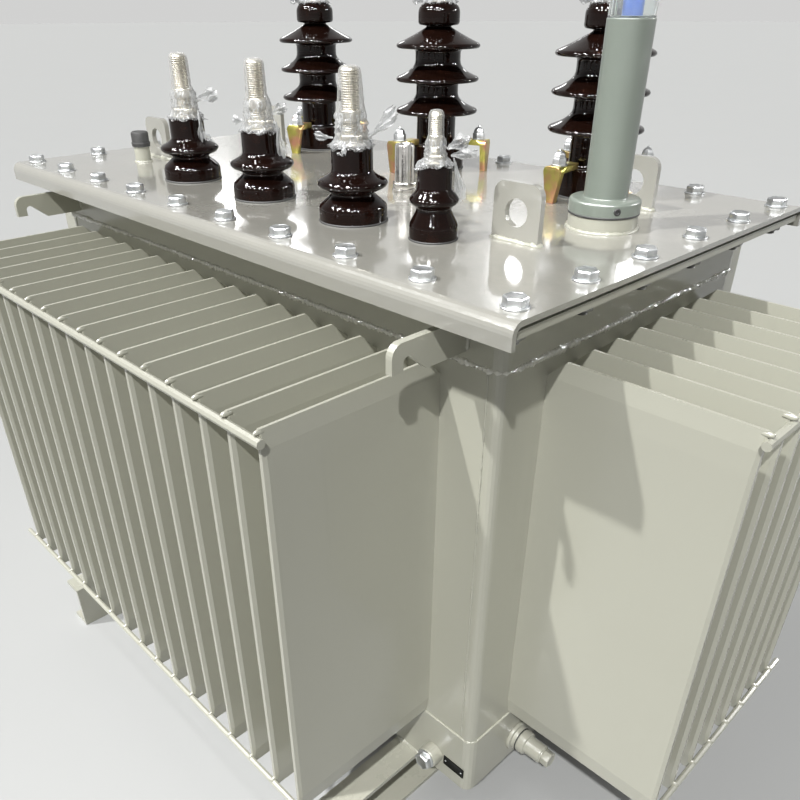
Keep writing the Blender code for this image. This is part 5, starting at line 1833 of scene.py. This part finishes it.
@dataclass
class CoverTrim:
    """Tap changer, filler stub and cap, and the dark seats under the porcelains."""

    tap_radius: float = 0.0138
    collar_corner: float = 0.0172
    washer_radius: float = 0.0174
    stub: tuple[Point, ...] = (
        (0.0126, 0.0, 0.0), (0.0130, 0.0005, 0.0003), (0.0130, 0.0236, 0.0003),
        (0.0126, 0.0240, 0.0002), (0.0060, 0.0240, 0.0),
    )
    phase_seat: float = 0.0420
    neutral_seat: float = 0.0272
    high_seat: float = 0.0452

    def _tap(self, dresser: Dresser) -> None:
        """Model the polished tap changer: body, hexagon collar, washer and crown."""
        low, top = (corner.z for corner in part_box("tap_changer"))
        centre = middle_of("tap_changer").xy
        wide, collar, rim = self.tap_radius, self.collar_corner, self.washer_radius
        body = Workpiece.stack("tap_changer_body", [
            (wide, low + 0.0105), (wide, top - 0.0030), (wide - 0.0008, top - 0.0010),
            (wide - 0.0024, top), (wide - 0.0044, top), (wide - 0.0050, top - 0.0012),
        ], 48, centre)
        ring = Workpiece.stack("tap_collar", [
            (collar, low + 0.0042), (collar, low + 0.0118), (0.0158, low + 0.0130)], 6, centre)
        ring.soften(0.0006, 2, 25.0)
        washer = Workpiece.stack("tap_washer", [
            (rim, low), (rim, low + 0.0034), (0.0166, low + 0.0041)], 40, centre)
        body.join([ring, washer])
        dresser.fit(body.smooth(30.0), Slot.BRIGHT, replaces=["tap_changer"])

    def _filler(self, dresser: Dresser) -> None:
        """Model the filler stub and its ribbed rubber cap."""
        stub = Workpiece.turned("filler_stub_turned", rounded(self.stub, 2), 48)
        stub.move(about(foot_of("filler_stub")))
        dresser.fit(stub.smooth(40.0), Slot.ENAMEL, replaces=["filler_stub"])
        low, high = (corner.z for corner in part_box("filler_cap"))
        wide = radius_of("filler_cap")
        cap = Workpiece.stack("filler_cap_ribbed", [
            (wide - 0.0006, low), (wide - 0.0006, low + 0.0030), (wide, low + 0.0036),
            (wide, low + 0.0060), (wide - 0.0012, low + 0.0066),
            (wide - 0.0012, high - 0.0040), (wide - 0.0020, high - 0.0016),
            (wide - 0.0042, high - 0.0004), (wide - 0.0070, high),
            (wide - 0.0078, high - 0.0008),
        ], 48, middle_of("filler_cap").xy)
        dresser.fit(cap.smooth(30.0), Slot.RUBBER, replaces=["filler_cap"])

    def _seats(self, dresser: Dresser) -> None:
        """Model the thin dark gaskets that show at the porcelains' feet."""
        kinds = (("lv", PHASES, self.phase_seat), ("lv", ("neutral",), self.neutral_seat),
                 ("hv", PHASES, self.high_seat))
        for side, phases, wide in kinds:
            for phase in phases:
                foot = foot_of(f"{side}_bushing_{phase}")
                seat = Workpiece.torus(f"{side}_gasket_{phase}", wide, 0.0016,
                                       foot.z + 0.0004, foot.xy, 56, 8)
                dresser.fit(seat.smooth(60.0), Slot.RUBBER)

    def build(self, dresser: Dresser) -> None:
        """Model the trim."""
        self._tap(dresser)
        self._filler(dresser)
        self._seats(dresser)


# Camera, stage and light


@dataclass(frozen=True)
class CameraRig:
    """The photograph's viewpoint."""

    place: Point = (0.9031, -0.8128, 1.0703)
    right: Point = (0.69657, 0.71749, -0.0026)
    up: Point = (-0.3852, 0.3771, 0.8423)
    lens: float = 33.80
    shift: tuple[float, float] = (0.0142, 0.1044)

    def build(self) -> None:
        """Set up the camera."""
        data = bpy.data.cameras.new("camera")
        data.sensor_width = 36.0
        data.lens = self.lens
        data.shift_x, data.shift_y = self.shift
        data.clip_start = 0.01
        made = bpy.data.objects.new("camera", data)
        right = Vector(self.right).normalized()
        up = Vector(self.up)
        up = (up - right * up.dot(right)).normalized()
        turn = Matrix((right, up, right.cross(up))).transposed().to_4x4()
        made.matrix_world = about(self.place) @ turn
        bpy.context.scene.collection.objects.link(made)
        bpy.context.scene.camera = made


class LampKind(Enum):
    """The kinds of lamp in the studio."""

    BOX = "AREA"
    SUN = "SUN"


@dataclass(frozen=True)
class Lamp:
    """One lamp: a soft box, or a far lamp whose light falls the same everywhere."""

    name: str
    place: Point
    power: float
    size: float
    kind: LampKind = LampKind.BOX
    target: Point = (0.0, 0.0, 0.8)
    colour: Colour = (1.0, 1.0, 1.0)
    gloss_only: bool = False

    def build(self) -> None:
        """Hang the lamp where neither the camera nor its shadow shows it."""
        data = bpy.data.lights.new(self.name, self.kind.value)
        if self.kind is LampKind.SUN:
            data.angle = math.radians(self.size)
        else:
            data.shape = "DISK"
            data.size = self.size
        data.energy = self.power
        data.color = self.colour
        made = bpy.data.objects.new(self.name, data)
        made.location = self.place
        heading = Vector(self.target) - Vector(self.place)
        made.rotation_euler = heading.to_track_quat("-Z", "Y").to_euler()
        made.visible_camera = False
        made.visible_diffuse = not self.gloss_only
        bpy.context.scene.collection.objects.link(made)


@dataclass
class Studio:
    """Plain pale floor, two far lamps, and rows of small lamps that only glint."""

    floor_radius: float = 60.0
    floor_drop: float = 0.0005
    ambient: tuple[float, float] = (0.09, 0.38)
    ambient_colour: Colour = (1.0, 1.0, 0.97)
    bright_side: Point = (0.0, -0.94, 0.34)
    overhead: tuple[float, float] = (0.36, 0.58)
    gloss_side: Point = (-0.62, 0.78, 0.0)
    horizon: float = 0.64
    backdrop: Colour = (1.0, 1.0, 0.99)
    key: Lamp = Lamp("key_light", (-1.276, -2.036, 4.0), 2.45, 1.6, LampKind.SUN,
                     colour=(1.0, 1.0, 0.985))
    second: Lamp = Lamp("second_light", (1.280, -2.108, 3.952), 2.6, 1.3, LampKind.SUN,
                        colour=(1.0, 1.0, 0.985))
    ceiling: tuple[Point, ...] = (
        (-3.81, 5.56, 3.0), (-3.25, 6.70, 3.0), (-4.69, 5.24, 3.0), (-6.40, 4.79, 3.0),
        (-8.60, 5.20, 3.0),
    )
    ceiling_power: float = 5.5
    ceiling_size: float = 0.50
    row_start: float = -1.5
    row_step: float = 1.0
    row_count: int = 5
    row_lines: tuple[float, float] = (-2.6, -1.1)
    row_height: float = 3.0
    row_power: float = 58.0
    row_size: float = 0.20
    aside: tuple[Point, ...] = ((2.2, 3.6, 2.4), (3.0, 4.4, 2.8), (3.8, 3.2, 2.6))

    def _lamps(self) -> list[Lamp]:
        """Return all the lamps: two that light the object and small ones that glint on it."""
        lamps = [self.key, self.second]
        rows = [("ceiling_lamp", self.ceiling, self.ceiling_power, self.ceiling_size)]
        for line, y in enumerate(self.row_lines, start=1):
            places = [(self.row_start + index * self.row_step, y, self.row_height)
                      for index in range(self.row_count)]
            rows.append((f"row_lamp_{line}", places, self.row_power, self.row_size))
        rows.append(("side_lamp", self.aside, self.row_power, self.row_size))
        for name, places, power, size in rows:
            for index, place in enumerate(places, start=1):
                lamps.append(Lamp(f"{name}_{index}", place, power, size, gloss_only=True))
        return lamps

    def _world(self) -> None:
        """Light one side more than the other and show a pale backdrop to the camera."""
        world = bpy.data.worlds.new("studio")
        world.use_nodes = True
        bpy.context.scene.world = world
        world.node_tree.nodes.clear()
        graph = Graph(world.node_tree)
        where = graph.node("ShaderNodeTexCoord").outputs["Generated"]
        height = graph.node("ShaderNodeSeparateXYZ", {0: where}).outputs["Z"]
        towards = [
            graph.node("ShaderNodeVectorMath", {0: where, 1: side}, operation="DOT_PRODUCT")
            for side in (self.bright_side, self.gloss_side)
        ]
        lit = graph.ramp(towards[0].outputs["Value"], -0.2, 0.9, *self.ambient)
        behind = graph.ramp(towards[1].outputs["Value"], -0.2, 0.7, *self.overhead)
        above = graph.math("MULTIPLY", behind, graph.ramp(height, 0.45, 0.90, 1.0, 0.5))
        rim = graph.ramp(height, 0.03, 0.60, self.horizon, 0.0)
        tone = graph.math("MAXIMUM", above, rim)
        soft, seen = (
            graph.node("ShaderNodeBackground", {"Color": rgba(colour), "Strength": strength})
            for colour, strength in ((self.ambient_colour, lit), (self.backdrop, tone))
        )
        both = graph.node("ShaderNodeMixShader", {0: graph.shown_rays(), 1: soft.outputs[0],
                                                  2: seen.outputs[0]})
        graph.node("ShaderNodeOutputWorld", {"Surface": both.outputs[0]})

    def build(self, paints: Paintbox) -> None:
        """Lay the floor and hang the lamps."""
        Workpiece.clear()
        bpy.ops.mesh.primitive_circle_add(vertices=96, radius=self.floor_radius,
                                          fill_type="NGON",
                                          location=(0.0, 0.0, -self.floor_drop))
        floor = Workpiece("studio_floor").object
        floor.data.materials.append(paints.material(FLOOR))
        for lamp in self._lamps():
            lamp.build()
        self._world()
        bpy.context.scene.view_settings.view_transform = "Standard"


# All together


def main() -> None:
    """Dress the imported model, add the small pieces and set up the picture."""
    logging.basicConfig(level=logging.INFO, format="%(name)s: %(message)s")
    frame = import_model()
    paints = Paintbox()
    dresser = Dresser(paints)
    CarriedNodes(frame).dress(paints)
    assemblies = (CoverBolts(), WeldBeads(), FinWelds(), Porcelains(), Terminals(), Claws(),
                  Gauge(), GaugeTrim(), SkirtFittings(), SkirtPlate(), CoverTrim())
    for assembly in assemblies:
        before = dresser.count
        assembly.build(dresser)
        LOG.info("%s: %d pieces", type(assembly).__name__, dresser.count - before)
    Workpiece.clear()
    Studio().build(paints)
    CameraRig().build()
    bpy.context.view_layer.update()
    LOG.info("%d pieces in all", dresser.count)


if __name__ == "__main__":
    main()
